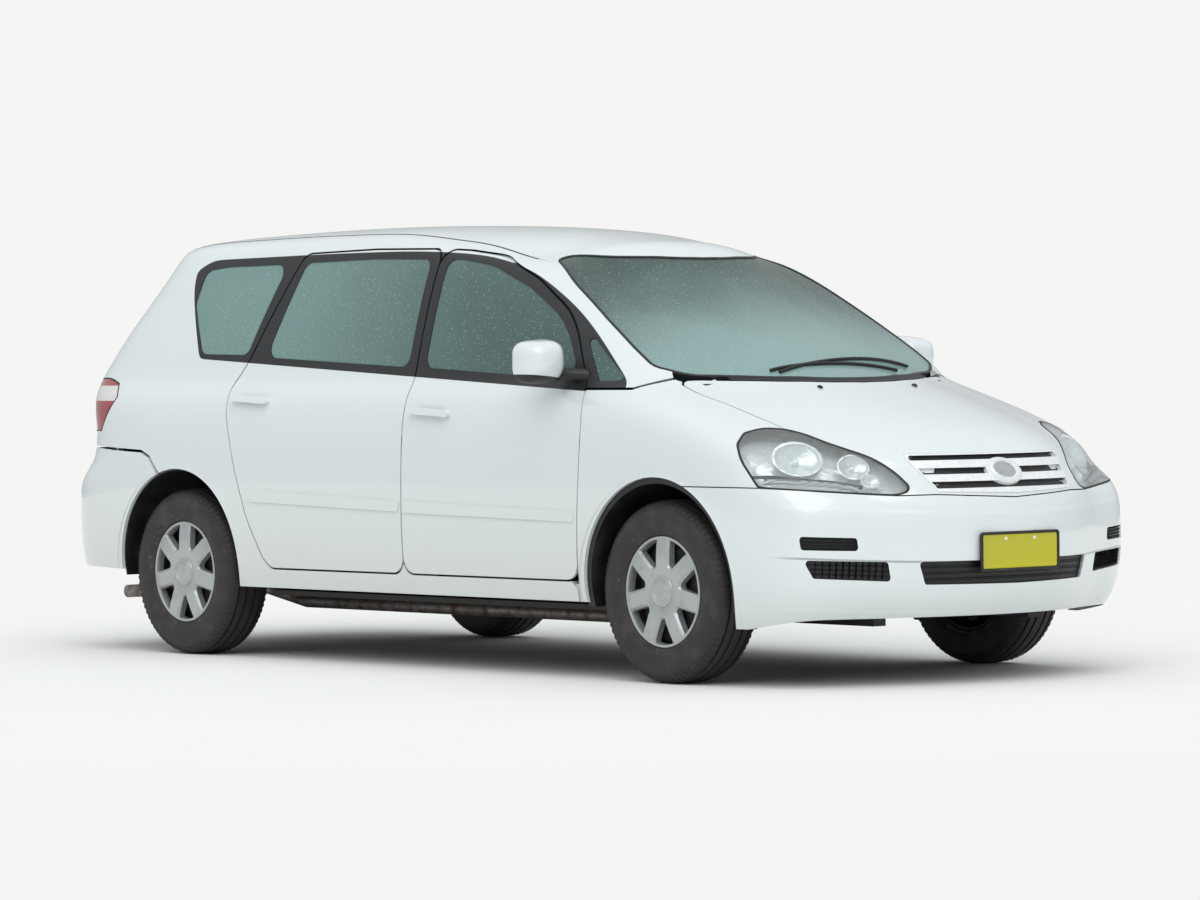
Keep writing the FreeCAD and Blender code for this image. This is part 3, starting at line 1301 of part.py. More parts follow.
# Wipers rest on the windshield
wiper_radius = s.small_radius / 2
wiper_steps = 8
wipers = []
for (x0, y0), (x1, y1) in wiper_shares:
    places = []
    for step in range(wiper_steps + 1):
        part = step / wiper_steps
        x, y = along(x0 + (x1 - x0) * part), across(y0 + (y1 - y0) * part)
        places.append(Vector(x, y, skin_z(x, abs(y), s.glass_sink - wiper_radius - s.seat_gap * 3)))
    line = Part.BSplineCurve()
    line.interpolate(places)
    circle = Part.makeCircle(wiper_radius, places[0], line.tangent(line.FirstParameter)[0])
    wipers.append(Part.Wire(line.toShape()).makePipeShell([Part.Wire(circle)], True, False))
add("wipers", Part.Compound(wipers))

# Check every object and write one file per node
doc.recompute()
os.makedirs("parts", exist_ok=True)
for item in doc.Objects:
    if "Invalid" in item.State or "Error" in item.State:
        raise RuntimeError("%s did not compute" % item.Label)
for node in nodes:
    shape = node.Shape
    if shape.isNull() or not shape.isValid() or not shape.Solids:
        raise RuntimeError("%s has no valid shape" % node.Label)
    shape.exportStep("parts/%s.step" % node.Label)
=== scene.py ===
"""The looks of a white seven-seat minivan, built round its packed construction model."""
import json
import math

import bmesh
import bpy
import numpy as np
from mathutils import Matrix, Vector
from mathutils.bvhtree import BVHTree

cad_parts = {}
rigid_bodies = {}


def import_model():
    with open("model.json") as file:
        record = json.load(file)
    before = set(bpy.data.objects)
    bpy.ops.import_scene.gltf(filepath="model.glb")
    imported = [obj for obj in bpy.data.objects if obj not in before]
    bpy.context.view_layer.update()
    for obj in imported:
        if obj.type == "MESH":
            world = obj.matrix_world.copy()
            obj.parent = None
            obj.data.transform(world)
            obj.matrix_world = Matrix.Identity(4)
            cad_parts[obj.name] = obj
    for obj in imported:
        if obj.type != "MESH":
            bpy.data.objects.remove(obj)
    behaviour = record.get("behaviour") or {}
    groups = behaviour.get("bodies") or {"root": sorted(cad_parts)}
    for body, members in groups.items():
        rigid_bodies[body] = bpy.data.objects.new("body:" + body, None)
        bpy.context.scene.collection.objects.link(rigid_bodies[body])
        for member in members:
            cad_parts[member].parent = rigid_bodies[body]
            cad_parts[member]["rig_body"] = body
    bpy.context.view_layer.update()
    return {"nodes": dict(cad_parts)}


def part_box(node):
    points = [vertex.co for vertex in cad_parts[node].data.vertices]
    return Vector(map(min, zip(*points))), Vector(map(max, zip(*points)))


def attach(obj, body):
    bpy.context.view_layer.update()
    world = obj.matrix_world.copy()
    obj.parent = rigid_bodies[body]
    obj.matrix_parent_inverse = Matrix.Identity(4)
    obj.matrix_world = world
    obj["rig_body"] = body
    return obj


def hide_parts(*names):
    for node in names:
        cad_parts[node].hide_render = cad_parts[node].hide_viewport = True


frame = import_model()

nodes = frame["nodes"]

# Camera, floor and light
# A long lens at knee height looks at the car's right front corner, as in the photograph. The floor
# is plain and pale, the sky is an even white, and one wide lamp gives the paint a direction.
target = Vector((0, 0, 0.7))
azimuth, elevation, roll = math.radians(49.376), math.radians(1.372), math.radians(-0.6)
camera_distance = 19.974
back = Vector((math.sin(azimuth) * math.cos(elevation), -math.cos(azimuth) * math.cos(elevation),
               math.sin(elevation)))
right = (-back).cross(Vector((0, 0, 1))).normalized()
above = right.cross(-back)
camera_right = right * math.cos(roll) + above * math.sin(roll)
camera_up = above * math.cos(roll) - right * math.sin(roll)
camera_data = bpy.data.cameras.new("camera")
camera_data.sensor_width = 36
camera_data.lens = 156.91
camera_data.shift_x = 0.01625
camera_data.shift_y = 0.0206
camera_data.clip_end = 200


def put_in(name, data):
    """A new object in the scene."""
    thing = bpy.data.objects.new(name, data)
    bpy.context.scene.collection.objects.link(thing)
    return thing


camera = put_in("camera", camera_data)
turn = Matrix((camera_right, camera_up, back)).transposed().to_4x4()
camera.matrix_world = Matrix.Translation(target + back * camera_distance) @ turn
bpy.context.scene.camera = camera
bpy.context.scene.view_settings.view_transform = "Standard"


class Wire:
    """A shader socket that can be used in sums; each sum adds its Math node."""

    def __init__(self, finish, socket):
        self.finish = finish
        self.socket = socket

    def out(self, name):
        return Wire(self.finish, self.socket.node.outputs[name])

    def math(self, operation, *others):
        inputs = dict(enumerate((self,) + others))
        return self.finish.node("ShaderNodeMath", {"operation": operation}, inputs)

    def __add__(self, other):
        return self.math("ADD", other)

    def __sub__(self, other):
        return self.math("SUBTRACT", other)

    def __rsub__(self, other):
        return self.finish.node("ShaderNodeMath", {"operation": "SUBTRACT"}, {0: other, 1: self})

    def __mul__(self, other):
        return self.math("MULTIPLY", other)


class Finish:
    """A material or a sky being made: its nodes come from one method, and Python sums wire them."""

    def __init__(self, owner):
        self.owner = owner
        owner.use_nodes = True
        self.tree = owner.node_tree
        self.tree.nodes.clear()

    def node(self, kind, settings=None, inputs=None):
        made = self.tree.nodes.new(kind)
        for name, value in (settings or {}).items():
            if name == "stops":
                for element, (place, colour) in zip(made.color_ramp.elements, value):
                    element.position = place
                    element.color = (*colour, 1)
            else:
                setattr(made, name, value)
        for name, value in (inputs or {}).items():
            socket = made.inputs[name]
            if isinstance(value, Wire):
                self.tree.links.new(value.socket, socket)
            elif hasattr(value, "__len__") and len(value) == 3 and len(socket.default_value) == 4:
                socket.default_value = (*value, 1)
            else:
                socket.default_value = value
        shown = [o for o in made.outputs if o.enabled]
        return Wire(self, shown[0]) if shown else None

    def noise(self, scale, detail=3.0):
        return self.node("ShaderNodeTexNoise", None,
                         {"Vector": self.coordinates, "Scale": scale, "Detail": detail})

    def cells(self, scale):
        """How far each place lies from the middle of its cell, in a pattern of irregular cells."""
        return self.node("ShaderNodeTexVoronoi", None, {"Vector": self.coordinates, "Scale": scale})

    def mix(self, mask, first, second):
        return self.node("ShaderNodeMix", {"data_type": "RGBA"}, {0: mask, 6: first, 7: second})

    def ramp(self, value, low, high):
        """0 at low, 1 at high, smooth between them."""
        return self.node("ShaderNodeMapRange", {"interpolation_type": "SMOOTHSTEP"},
                         {0: value, 1: low, 2: high, 3: 0.0, 4: 1.0})

    def bump(self, value, distance, strength=1.0):
        return self.node("ShaderNodeBump", None,
                         {"Height": value, "Distance": distance, "Strength": strength})

    def principled(self, inputs):
        return self.node("ShaderNodeBsdfPrincipled", None, inputs)

    def done(self, surface):
        self.node("ShaderNodeOutputMaterial", None, {"Surface": surface})
        return self.owner

    def coat(self, inputs):
        """The finished material with one surface of these inputs."""
        return self.done(self.principled(inputs))


def start_finish(name):
    """A new material's finish, with the Object coordinates whole and split."""
    finish = Finish(bpy.data.materials.new(name))
    finish.coordinates = finish.node("ShaderNodeTexCoord").out("Object")
    split = finish.node("ShaderNodeSeparateXYZ", None, {0: finish.coordinates})
    finish.x, finish.y, finish.z = split.out("X"), split.out("Y"), split.out("Z")
    return finish


BACKGROUND = (0.913, 0.913, 0.896)
FLOOR_HALF = 60
finish = start_finish("floor")
reach = (finish.x * finish.x + finish.y * finish.y).math("SQRT")
far = finish.ramp(reach, 3.2, 6.5)
lit = finish.node("ShaderNodeBsdfDiffuse", None, {"Color": (0.86, 0.86, 0.845)})
glow = finish.node("ShaderNodeEmission", None, {"Color": BACKGROUND, "Strength": 1.0})
floor_mix = finish.node("ShaderNodeMixShader", None, {0: far, 1: lit, 2: glow})
floor_mesh = bpy.data.meshes.new("floor")
floor_corners = [(FLOOR_HALF * a, FLOOR_HALF * b, 0) for a, b in ((-1, -1), (1, -1), (1, 1), (-1, 1))]
floor_mesh.from_pydata(floor_corners, [], [(0, 1, 2, 3)])
floor_mesh.materials.append(finish.done(floor_mix))
put_in("floor", floor_mesh)

world = bpy.data.worlds.new("sky")
bpy.context.scene.world = world
sky = Finish(world)
shown = sky.node("ShaderNodeBackground", None, {0: BACKGROUND})
height = sky.node("ShaderNodeSeparateXYZ", None, {0: sky.node("ShaderNodeTexCoord")}).out("Z")
shades = sky.node("ShaderNodeValToRGB", {"stops": ((0.0, (0.50, 0.53, 0.53)), (0.55, (0.92, 0.95, 0.97)))},
                  {0: height})
lighting = sky.node("ShaderNodeBackground", None, {0: shades, 1: 0.85})
seen = sky.node("ShaderNodeLightPath").out("Is Camera Ray")
choice = sky.node("ShaderNodeMixShader", None, {0: seen, 1: lighting, 2: shown})
sky.node("ShaderNodeOutputWorld", None, {0: choice})

lamp_data = bpy.data.lights.new("overcast", "SUN")
lamp_data.energy = 1.3
lamp_data.angle = math.radians(60)
lamp = put_in("overcast", lamp_data)
lamp.rotation_euler = Vector((0.70, -0.55, 1.0)).to_track_quat("Z", "Y").to_euler()

# Painted panels
# Pressed steel panels and plastic bumpers under one white gloss paint. They are cut from one smooth
# skin, so each panel's facets are split finer and take their shading from that skin.
LENGTH, WIDTH, HEIGHT = 4.69, 1.76, 1.664
FRONT_AXLE, REAR_AXLE = 1.415, -1.41
station_shares = (-1000, -601, 603, 1000)
stations = (-LENGTH / 2, REAR_AXLE, FRONT_AXLE, LENGTH / 2)
level_shares = (0, 123, 212, 660, 1000)
levels = (0, 0.205, 0.352, 1.098, HEIGHT)


def along(share):
    if share > 1000:
        slope = (stations[3] - stations[2]) / (station_shares[3] - station_shares[2])
        return stations[3] + (share - 1000) * slope
    if share < -1000:
        slope = (stations[1] - stations[0]) / (station_shares[1] - station_shares[0])
        return stations[0] + (share + 1000) * slope
    return float(np.interp(share, station_shares, stations))


def up(share):
    return float(np.interp(share, level_shares, levels))


def across(share):
    return share / 1000 * WIDTH / 2


# Rows of the skin's net: nose, tail and half width, then heights at the side, front corner, nose,
# rear corner and tail.
row_shares = (
    (953, -955, 952, 123), (988, -986, 975, 159), (1000, -999, 993, 234), (1001, -1000, 1000, 337),
    (991, -997, 1000, 409), (965, -979, 998, 448), (949, -971, 995, 488), (891, -974, 990, 532),
    (802, -981, 980, 574), (711, -987, 957, 612), (650, -985, 923, 638), (624, -978, 909, 660),
    (479, -917, 864, 763), (345, -845, 805, 865),
)
bowed_shares = ((277, -812, 755, (940, 895, 940, 928, 938)), (226, -797, 707, (972, 902, 951, 961, 968)))
tail_corner = ((0, 0), (0, 320), (41, 620), (70, 915), (183, 1000))
low_tail_corner = ((0, 0), (0, 320), (32, 650), (58, 945), (183, 1000))
nose_corner = ((205, 1000), (92, 920), (70, 610), (0, 320), (0, 0))
hood_corner = ((205, 1000), (132, 920), (79, 610), (0, 320), (0, 0))
glass_corner = ((205, 1000), (62, 920), (67, 610), (0, 320), (0, 0))
side_places = (170, 360, 550, 730, 880)
roof_rows = ((720, 100, 750), (340, 260, 1000), (0, 320, 1000))
crown_share, rear_arch, front_arch = -277, 95, 192


def net_row(index, nose, tail, width, heights):
    nose_places = hood_corner if 5 <= index <= 10 else glass_corner if index > 11 else nose_corner
    side, front_corner, front, rear_corner, rear = [up(share) for share in heights]
    half = across(width)
    corner = LENGTH / 2 / 1000 * min(1, width / 1000)
    rear_heights = (rear, rear, rear, rear_corner, (rear_corner + side) / 2)
    front_heights = ((front_corner + side) / 2, front_corner, (front_corner + 2 * front) / 3, front, front)
    row = []
    for (in_from, out), z in zip(low_tail_corner if index < 5 else tail_corner, rear_heights):
        row.append((along(tail) + in_from * corner, out / 1000 * half, z))
    start = row[-1][0]
    end = along(nose) - nose_corner[0][0] * corner
    for share in side_places:
        z = side
        if share == side_places[0]:
            z = (2 * side + rear_corner) / 3
        if share == side_places[-1]:
            z = (2 * side + front_corner) / 3
        row.append((start + (end - start) * share / 1000, half, z))
    for (in_from, out), z in zip(nose_places, front_heights):
        row.append((along(nose) - in_from * corner, out / 1000 * half, z))
    return row


def skin_net():
    level = [(nose, tail, width, [height] * 5) for nose, tail, width, height in row_shares]
    rows = [net_row(index, *shares) for index, shares in enumerate(level + list(bowed_shares))]
    top = rows[-1]
    middle = along(crown_share)
    for out, pull, blend in roof_rows:
        row = []
        for x, y, z in top:
            end = top[0][0] if x < middle else top[-1][0]
            moved = x + (middle - x) * pull / 1000 * abs((x - middle) / (end - middle))
            arch = rear_arch if moved < middle else front_arch
            spine = HEIGHT * (1 - arch / 1000 * ((moved - middle) / (LENGTH / 2)) ** 2)
            row.append((moved, y * out / 1000, z + (spine - z) * blend / 1000))
        rows.append(row)
    return np.array(rows)


def spline_weights(poles, at):
    """How much each pole of a clamped, even cubic spline counts at the given places."""
    knots = np.concatenate([np.zeros(3), np.arange(poles - 2), np.full(3, poles - 3)])
    at = np.minimum(at, poles - 3 - 1e-9)
    weights = ((knots[:-1] <= at[:, None]) & (at[:, None] < knots[1:])).astype(float)
    for degree in (1, 2, 3):
        count = len(knots) - degree - 1
        rise = knots[degree:degree + count] - knots[:count]
        fall = knots[degree + 1:degree + 1 + count] - knots[1:1 + count]
        left = np.where(rise > 0, (at[:, None] - knots[:count]) / np.where(rise > 0, rise, 1), 0)
        right_part = (knots[degree + 1:degree + 1 + count] - at[:, None]) / np.where(fall > 0, fall, 1)
        right_part = np.where(fall > 0, right_part, 0)
        weights = left * weights[:, :count] + right_part * weights[:, 1:count + 1]
    return weights


net = skin_net()
skin_rows, skin_columns = 240, 320
places_up = np.linspace(0, net.shape[0] - 3, skin_rows)
places_round = np.linspace(0, net.shape[1] - 3, skin_columns)
skin = np.einsum("ui,vj,ijk->uvk", spline_weights(net.shape[0], places_up),
                 spline_weights(net.shape[1], places_round), net)
skin_normals = np.cross(np.gradient(skin, axis=1), np.gradient(skin, axis=0))
skin_normals /= np.maximum(np.linalg.norm(skin_normals, axis=2, keepdims=True), 1e-12)
outwards = np.sum(skin_normals * (skin - np.array([0, 0, 0.7])), axis=2)
skin_normals *= np.sign(np.median(outwards))
skin_normals[-1] = skin_normals[-2]
skin_normals[:, 0, 1] = 0
skin_normals[:, -1, 1] = 0
skin_points = skin.reshape(-1, 3)
skin_directions = skin_normals.reshape(-1, 3)
corner_ids = np.arange(skin_rows * skin_columns).reshape(skin_rows, skin_columns)
quads = np.stack([corner_ids[:-1, :-1], corner_ids[:-1, 1:], corner_ids[1:, 1:], corner_ids[1:, :-1]], -1)
quads = quads.reshape(-1, 4)
skin_triangles = np.concatenate([quads[:, (0, 1, 2)], quads[:, (0, 2, 3)]])
skin_tree = BVHTree.FromPolygons(skin_points.tolist(), skin_triangles.tolist())


def on_skin(point):
    """The nearest place on the skin, the direction outwards there, and how deep the point lies."""
    side = -1 if point.y < 0 else 1
    place, _, index, _ = skin_tree.find_nearest(Vector((point.x, abs(point.y), point.z)))
    corners = skin_triangles[index]
    a, b, c = (Vector(skin_points[i]) for i in corners)
    whole = (b - a).cross(c - a)
    size = max(whole.length_squared, 1e-18)
    share_b = (place - a).cross(c - a).dot(whole) / size
    share_c = (b - a).cross(place - a).dot(whole) / size
    at_a, at_b, at_c = skin_directions[corners]
    direction = Vector(at_a * (1 - share_b - share_c) + at_b * share_b + at_c * share_c).normalized()
    direction.y *= side
    place.y *= side
    return place, direction, (place - point).dot(direction)


def skinned(node, longest=0.045, rounds=3):
    """A finer copy of a CAD panel: faces that run along the skin bend and shine as it does."""
    level_depth, deepest = 0.0012, 0.03
    work = bmesh.new()
    work.from_mesh(nodes[node].data)
    bmesh.ops.remove_doubles(work, verts=work.verts, dist=1e-6)
    depth = work.verts.layers.float.new("depth")
    for vertex in work.verts:
        vertex[depth] = on_skin(vertex.co)[2]

    def follows(face):
        depths = [v[depth] for v in face.verts]
        if max(depths) - min(depths) > level_depth or max(depths) > deepest:
            return False
        return abs(face.normal.dot(on_skin(face.calc_center_median())[1])) > 0.93

    for _ in range(rounds):
        long_edges = {edge for face in work.faces if follows(face) for edge in face.edges
                      if edge.calc_length() > longest
                      and abs(edge.verts[0][depth] - edge.verts[1][depth]) < level_depth}
        if not long_edges:
            break
        made = bmesh.ops.subdivide_edges(work, edges=list(long_edges), cuts=1)
        for item in made["geom_inner"]:
            if isinstance(item, bmesh.types.BMVert):
                place, direction, _ = on_skin(item.co)
                item.co = place - direction * item[depth]
        bmesh.ops.triangulate(work, faces=[f for f in work.faces if len(f.verts) > 3])
        work.normal_update()
    shading = []
    for face in work.faces:
        along_skin = follows(face)
        for corner in face.verts:
            if along_skin:
                direction = on_skin(corner.co)[1]
                shading.append(direction if direction.dot(face.normal) > 0 else -direction)
            else:
                shading.append(face.normal.copy())
    mesh = bpy.data.meshes.new(node + "_panel")
    work.to_mesh(mesh)
    work.free()
    mesh.shade_smooth()
    mesh.normals_split_custom_set(shading)
    return put_in(node + "_panel", mesh)


shown_panels = {}


def dress(node, slot_name, outer, inner=None, outer_depth=0.0, **options):
    """Shows a finer copy of a CAD node; a second material takes the faces below the outer ones."""
    piece = skinned(node, **options)
    piece.data.materials.append(outer)
    if inner is not None:
        piece.data.materials.append(inner)
        for face in piece.data.polygons:
            face.material_index = 1 if on_skin(face.center)[2] > outer_depth else 0
    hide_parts(node)
    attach(piece, nodes[node]["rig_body"])
    shown_panels[node] = piece


# The black band round the side windows, as an outline seen from the side
band_shares = ((-621, 799), (-642, 858), (-645, 902), (-600, 932), (-362, 934), (-166, 939), (-3, 932),
               (119, 916), (215, 882), (311, 821), (401, 744), (502, 632), (512, 610), (424, 616),
               (-443, 683), (-584, 694))


def inside_outline(finish, outline):
    """How far inside a convex outline a place lies, seen from the side; negative outside it."""
    points = [(along(a), up(b)) for a, b in outline]
    area = sum(a[0] * b[1] - b[0] * a[1] for a, b in zip(points, points[1:] + points[:1]))
    turn_sign = 1 if area > 0 else -1
    least = None
    for (x0, z0), (x1, z1) in zip(points, points[1:] + points[:1]):
        size = math.hypot(x1 - x0, z1 - z0)
        normal_x, normal_z = -(z1 - z0) / size * turn_sign, (x1 - x0) / size * turn_sign
        distance = finish.x * normal_x + finish.z * normal_z + -(x0 * normal_x + z0 * normal_z)
        least = distance if least is None else finish.node(
            "ShaderNodeMath", {"operation": "SMOOTH_MIN"}, {0: least, 1: distance, 2: 0.035})
    return least


def step_at(finish, line, run):
    """Rises from 0 to 1 where the height passes a line, over a short run."""
    return finish.ramp(finish.z - line, -run, run)


WHEEL_HEIGHT = 0.324
axle_distance = (FRONT_AXLE - REAR_AXLE) / 2


def from_axle(finish):
    """How far a place lies from the nearer axle, seen from the side."""
    ahead = finish.x.math("ABSOLUTE") - axle_distance
    raised = finish.z - WHEEL_HEIGHT
    return (ahead * ahead + raised * raised).math("SQRT")


def side_relief(finish):
    """Lips round the wheel arches, as heights for a bump."""
    return (1 - finish.ramp(from_axle(finish), 0.404, 0.420)) * 0.5


def bumper_relief(finish):
    """A step over the number plate, a soft crease above it and a lip below, as heights for a bump."""
    square = finish.y * finish.y
    ahead = finish.ramp(finish.x, 1.95, 2.1)
    step = step_at(finish, square * 0.042 + 0.428, 0.005) * ahead
    crease = step_at(finish, square * 0.048 + 0.600, 0.010) * ahead * 0.35
    lip = step_at(finish, square * 0.040 + 0.255, 0.006) * ahead * 0.5
    return step - crease - lip + side_relief(finish)


def paint(name, banded=False, relief=side_relief):
    finish = start_finish(name)
    grime = finish.noise(7.0, 6.0) * (1 - finish.ramp(finish.z, 0.22, 0.5))
    # low is a painted shade: the panels grow darker towards the bottom below 0.9 m (not on the front
    # bumper); grime adds patchy dirt below 0.5 m
    low = 0.0 if relief is bumper_relief else (1 - finish.ramp(finish.z, 0.30, 0.90)) * 0.3
    tone = finish.mix(grime * 0.3 + low, (0.725, 0.780, 0.790), (0.52, 0.52, 0.48))
    roughness = finish.noise(60.0) * 0.05 + 0.20
    coat = 1.0
    if banded:
        band = finish.ramp(inside_outline(finish, band_shares), -0.005, -0.003)
        tone = finish.mix(band, tone, (0.010, 0.010, 0.011))
        roughness = roughness + band * 0.25
        coat = 1 - band * 0.85
    peel = finish.noise(420.0, 1.0) * 0.003
    return finish.coat({
        "Base Color": tone, "Roughness": roughness, "Coat Weight": coat, "Coat Roughness": 0.04,
        "Normal": finish.bump(relief(finish) + peel, 0.010)})


white_paint = paint("white_paint")
banded_paint = paint("banded_paint", banded=True)
bumper_paint = paint("bumper_paint", relief=bumper_relief)
for node in ("hood", "fenders", "roof_panel", "tailgate"):
    dress(node, "paint", white_paint)
dress("rear_bumper", "bumper_paint", white_paint)
dress("front_bumper", "bumper_paint", bumper_paint)
side_panels = ("front_door_left", "front_door_right", "rear_door_left", "rear_door_right",
               "body_side_left", "body_side_right")
for node in side_panels:
    dress(node, "paint", banded_paint)

# Window glass
# Tinted safety glass, wet with fine rain and hazed by it; the haze also carries a painted reflection
# of the sky, lighter or darker along the car. Light still passes through, so the seats show behind it.


def wet_glass(name, rear_haze_and_reflection, front_haze_and_reflection, low_x, high_x):
    """Glass whose rain haze and painted sky reflection go from one tone to another along the car."""
    finish = start_finish(name)
    chosen = finish.ramp(finish.noise(70.0, 1.0), 0.50, 0.56)
    drops = (1 - finish.ramp(finish.cells(120.0), 0.14, 0.26)) * chosen
    streaks = finish.noise(3.0, 3.0)
    # haze is the rain haze plus a painted reflection of the sky, one tone at the rear and another at the
    # front
    haze = finish.mix(finish.ramp(finish.x + (streaks - 0.5) * 0.3, low_x, high_x), rear_haze_and_reflection, front_haze_and_reflection)
    pane = finish.principled({
        "Base Color": finish.mix(drops * 0.7, haze, (0.72, 0.82, 0.80)), "Roughness": 0.04,
        "Normal": finish.bump(drops, 0.0006, 0.6)})
    clear = finish.node("ShaderNodeBsdfTransparent", None, {"Color": (0.52, 0.62, 0.60)})
    return finish.done(finish.node("ShaderNodeMixShader", None, {0: drops * 0.2 + 0.56, 1: clear, 2: pane}))


side_glass = wet_glass("side_glass", (0.32, 0.50, 0.48), (0.13, 0.21, 0.20), -1.2, 0.7)
windshield_glass = wet_glass("windshield_glass", (0.10, 0.15, 0.14), (0.44, 0.64, 0.62), 0.62, 1.35)
dress("windshield", "window_glass", windshield_glass, longest=0.08, rounds=2)
for node in ("tailgate_glass", "quarter_glass", "front_door_glass_left", "front_door_glass_right",
             "rear_door_glass_left", "rear_door_glass_right"):
    dress(node, "window_glass", side_glass, longest=0.08, rounds=2)

# Wheels
# Steel wheels behind moulded silver covers. A cover has seven flat spokes with bevelled edges, a thin
# outer ring and a raised plain cap, and it snaps into the rim that carries the tyre.
def solid_piece(name, vertices, faces, materials, sharp=35, face_finish=None):
    """A piece with its doubles merged, its faces turned outwards and its sharp edges kept sharp."""
    mesh = bpy.data.meshes.new(name)
    mesh.from_pydata([tuple(v) for v in vertices], [], faces)
    for material in materials if isinstance(materials, (list, tuple)) else [materials]:
        mesh.materials.append(material)
    work = bmesh.new()
    work.from_mesh(mesh)
    if face_finish is not None:
        work.faces.ensure_lookup_table()
        for face, index in zip(work.faces, face_finish):
            face.material_index = index
    bmesh.ops.remove_doubles(work, verts=work.verts, dist=2e-6)
    bmesh.ops.dissolve_degenerate(work, edges=work.edges, dist=2e-6)
    bmesh.ops.recalc_face_normals(work, faces=work.faces)
    for face in work.faces:
        face.smooth = True
    for edge in work.edges:
        edge.smooth = len(edge.link_faces) == 2 and edge.calc_face_angle(0) < math.radians(sharp)
    work.to_mesh(mesh)
    work.free()
    return put_in(name, mesh)


def loft(rings):
    """The places of a row of rings and the faces between them."""
    count = len(rings[0])
    faces = []
    for level in range(len(rings) - 1):
        for step in range(count):
            after = (step + 1) % count
            faces.append((level * count + step, level * count + after, (level + 1) * count + after,
                          (level + 1) * count + step))
    return [place for ring in rings for place in ring], faces


def angles(count):
    """Even steps round a circle."""
    return [math.tau * step / count for step in range(count)]


def spun(profile, segments):
    """Rings of a profile of (radius, place along the axle) turned about the axle."""
    return loft([[(radius * math.cos(a), out, radius * math.sin(a)) for a in angles(segments)]
                 for radius, out in profile])


def together(*parts):
    """Several lots of places and faces as one."""
    vertices, faces = [], []
    for some_vertices, some_faces in parts:
        start = len(vertices)
        vertices += list(some_vertices)
        faces += [tuple(start + i for i in face) for face in some_faces]
    return vertices, faces


def add_piece(name, body, slot_name, material, *lots, **options):
    """Several lots of places and faces as one new piece that rides on a body."""
    piece = solid_piece(name, *together(*lots), material, **options)
    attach(piece, body)
    return piece


finish = start_finish("wheel_silver")
dust = finish.ramp(finish.noise(28.0, 6.0), 0.52, 0.78)
flake = finish.noise(900.0, 1.0)
silver_tone = finish.mix(dust * 0.35 + flake * 0.12, (0.46, 0.48, 0.49), (0.27, 0.265, 0.25))
wheel_silver = finish.coat({
    "Base Color": silver_tone, "Metallic": 0.55, "Roughness": dust * 0.2 + 0.34,
    "Coat Weight": 0.4, "Normal": finish.bump(finish.noise(300.0), 0.00004, 0.4)})
finish = start_finish("wheel_steel")
rust = finish.ramp(finish.noise(35.0, 6.0), 0.45, 0.75)
wheel_steel = finish.coat({
    "Base Color": finish.mix(rust, (0.022, 0.021, 0.020), (0.06, 0.05, 0.04)), "Metallic": 0.3,
    "Roughness": rust * 0.25 + 0.55})

spoke_count, spoke_half, opening_round = 7, 0.034, 0.013
cap_radius, opening_middle, ring_inner, ring_outer = 0.060, 0.145, 0.184, 0.1905
half_sector = math.pi / spoke_count
bottom_middle = (spoke_half + opening_round) / math.sin(half_sector)


def in_opening(u, v, wider):
    """Whether a place lies in the opening between two spokes, widened by so much."""
    edge = spoke_half - wider
    beside = v * math.sin(half_sector) - abs(u) * math.cos(half_sector) > edge
    below_round = v < bottom_middle and math.hypot(u, v - bottom_middle) > opening_round + wider
    return beside and math.hypot(u, v) < ring_inner + 0.35 * wider and not below_round


def in_sector(u, v):
    return cap_radius < math.hypot(u, v) < ring_outer and abs(math.atan2(u, v)) < half_sector


def reach_of(inside, heading):
    """How far a ray from the opening's middle runs inside a shape."""
    near, beyond = 0.0, 0.2
    for _ in range(34):
        middle = (near + beyond) / 2
        if inside(math.cos(heading) * middle, opening_middle + math.sin(heading) * middle):
            near = middle
        else:
            beyond = middle
    return near


def cover_height(radius):
    heights = (0.0895, 0.0925, 0.0935, 0.0915, 0.0868)
    return float(np.interp(radius, (0.06, 0.085, 0.12, 0.16, 0.19), heights))


def wheel_cover():
    """The face of the cover: seven sectors, each round its own opening, then the ring and the cap."""
    headings = angles(72)
    for radius in (cap_radius, ring_outer):
        for sign in (-1, 1):
            u, v = radius * math.sin(sign * half_sector), radius * math.cos(half_sector)
            headings.append(math.atan2(v - opening_middle, u) % math.tau)
    headings.sort()
    levels = ((0.0, -0.034), (0.0, -0.0085), (0.0065, -0.0014), (0.0085, 0.0))
    rings = []
    for wider, drop in levels:
        ring = []
        for heading in headings:
            out = reach_of(lambda u, v: in_opening(u, v, wider), heading)
            u, v = math.cos(heading) * out, opening_middle + math.sin(heading) * out
            ring.append((u, cover_height(math.hypot(u, v)) + drop, v))
        rings.append(ring)
    border = []
    for heading in headings:
        out = reach_of(in_sector, heading)
        border.append((math.cos(heading) * out, opening_middle + math.sin(heading) * out))
    for share in (0.35, 0.7, 1.0):
        ring = []
        for (u0, _, v0), (u1, v1) in zip(rings[3], border):
            u, v = u0 + (u1 - u0) * share, v0 + (v1 - v0) * share
            ring.append((u, cover_height(math.hypot(u, v)), v))
        rings.append(ring)
    vertices, faces = loft(rings)
    parts = []
    for spoke in range(spoke_count):
        turn = half_sector * (2 * spoke + 1)
        cosine, sine = math.cos(turn), math.sin(turn)
        turned = [(u * cosine - v * sine, out, u * sine + v * cosine) for u, out, v in vertices]
        parts.append((turned, faces))
    edge = ((ring_outer, cover_height(ring_outer)), (0.1935, 0.0878), (0.1955, 0.0868), (0.1968, 0.0840),
            (0.1968, 0.060))
    cap = ((cap_radius, 0.0895), (0.0565, 0.0885), (0.0545, 0.0900), (0.0530, 0.0935), (0.0495, 0.0953),
           (0.0455, 0.0955), (0.0445, 0.0942), (0.0430, 0.0942), (0.0420, 0.0955), (0.0345, 0.0962),
           (0.0335, 0.0952), (0.0325, 0.0952), (0.0315, 0.0963), (0.0150, 0.0968), (0.0, 0.0969))
    return together(*parts, *[spun(profile, spoke_count * 24) for profile in (edge, cap)])


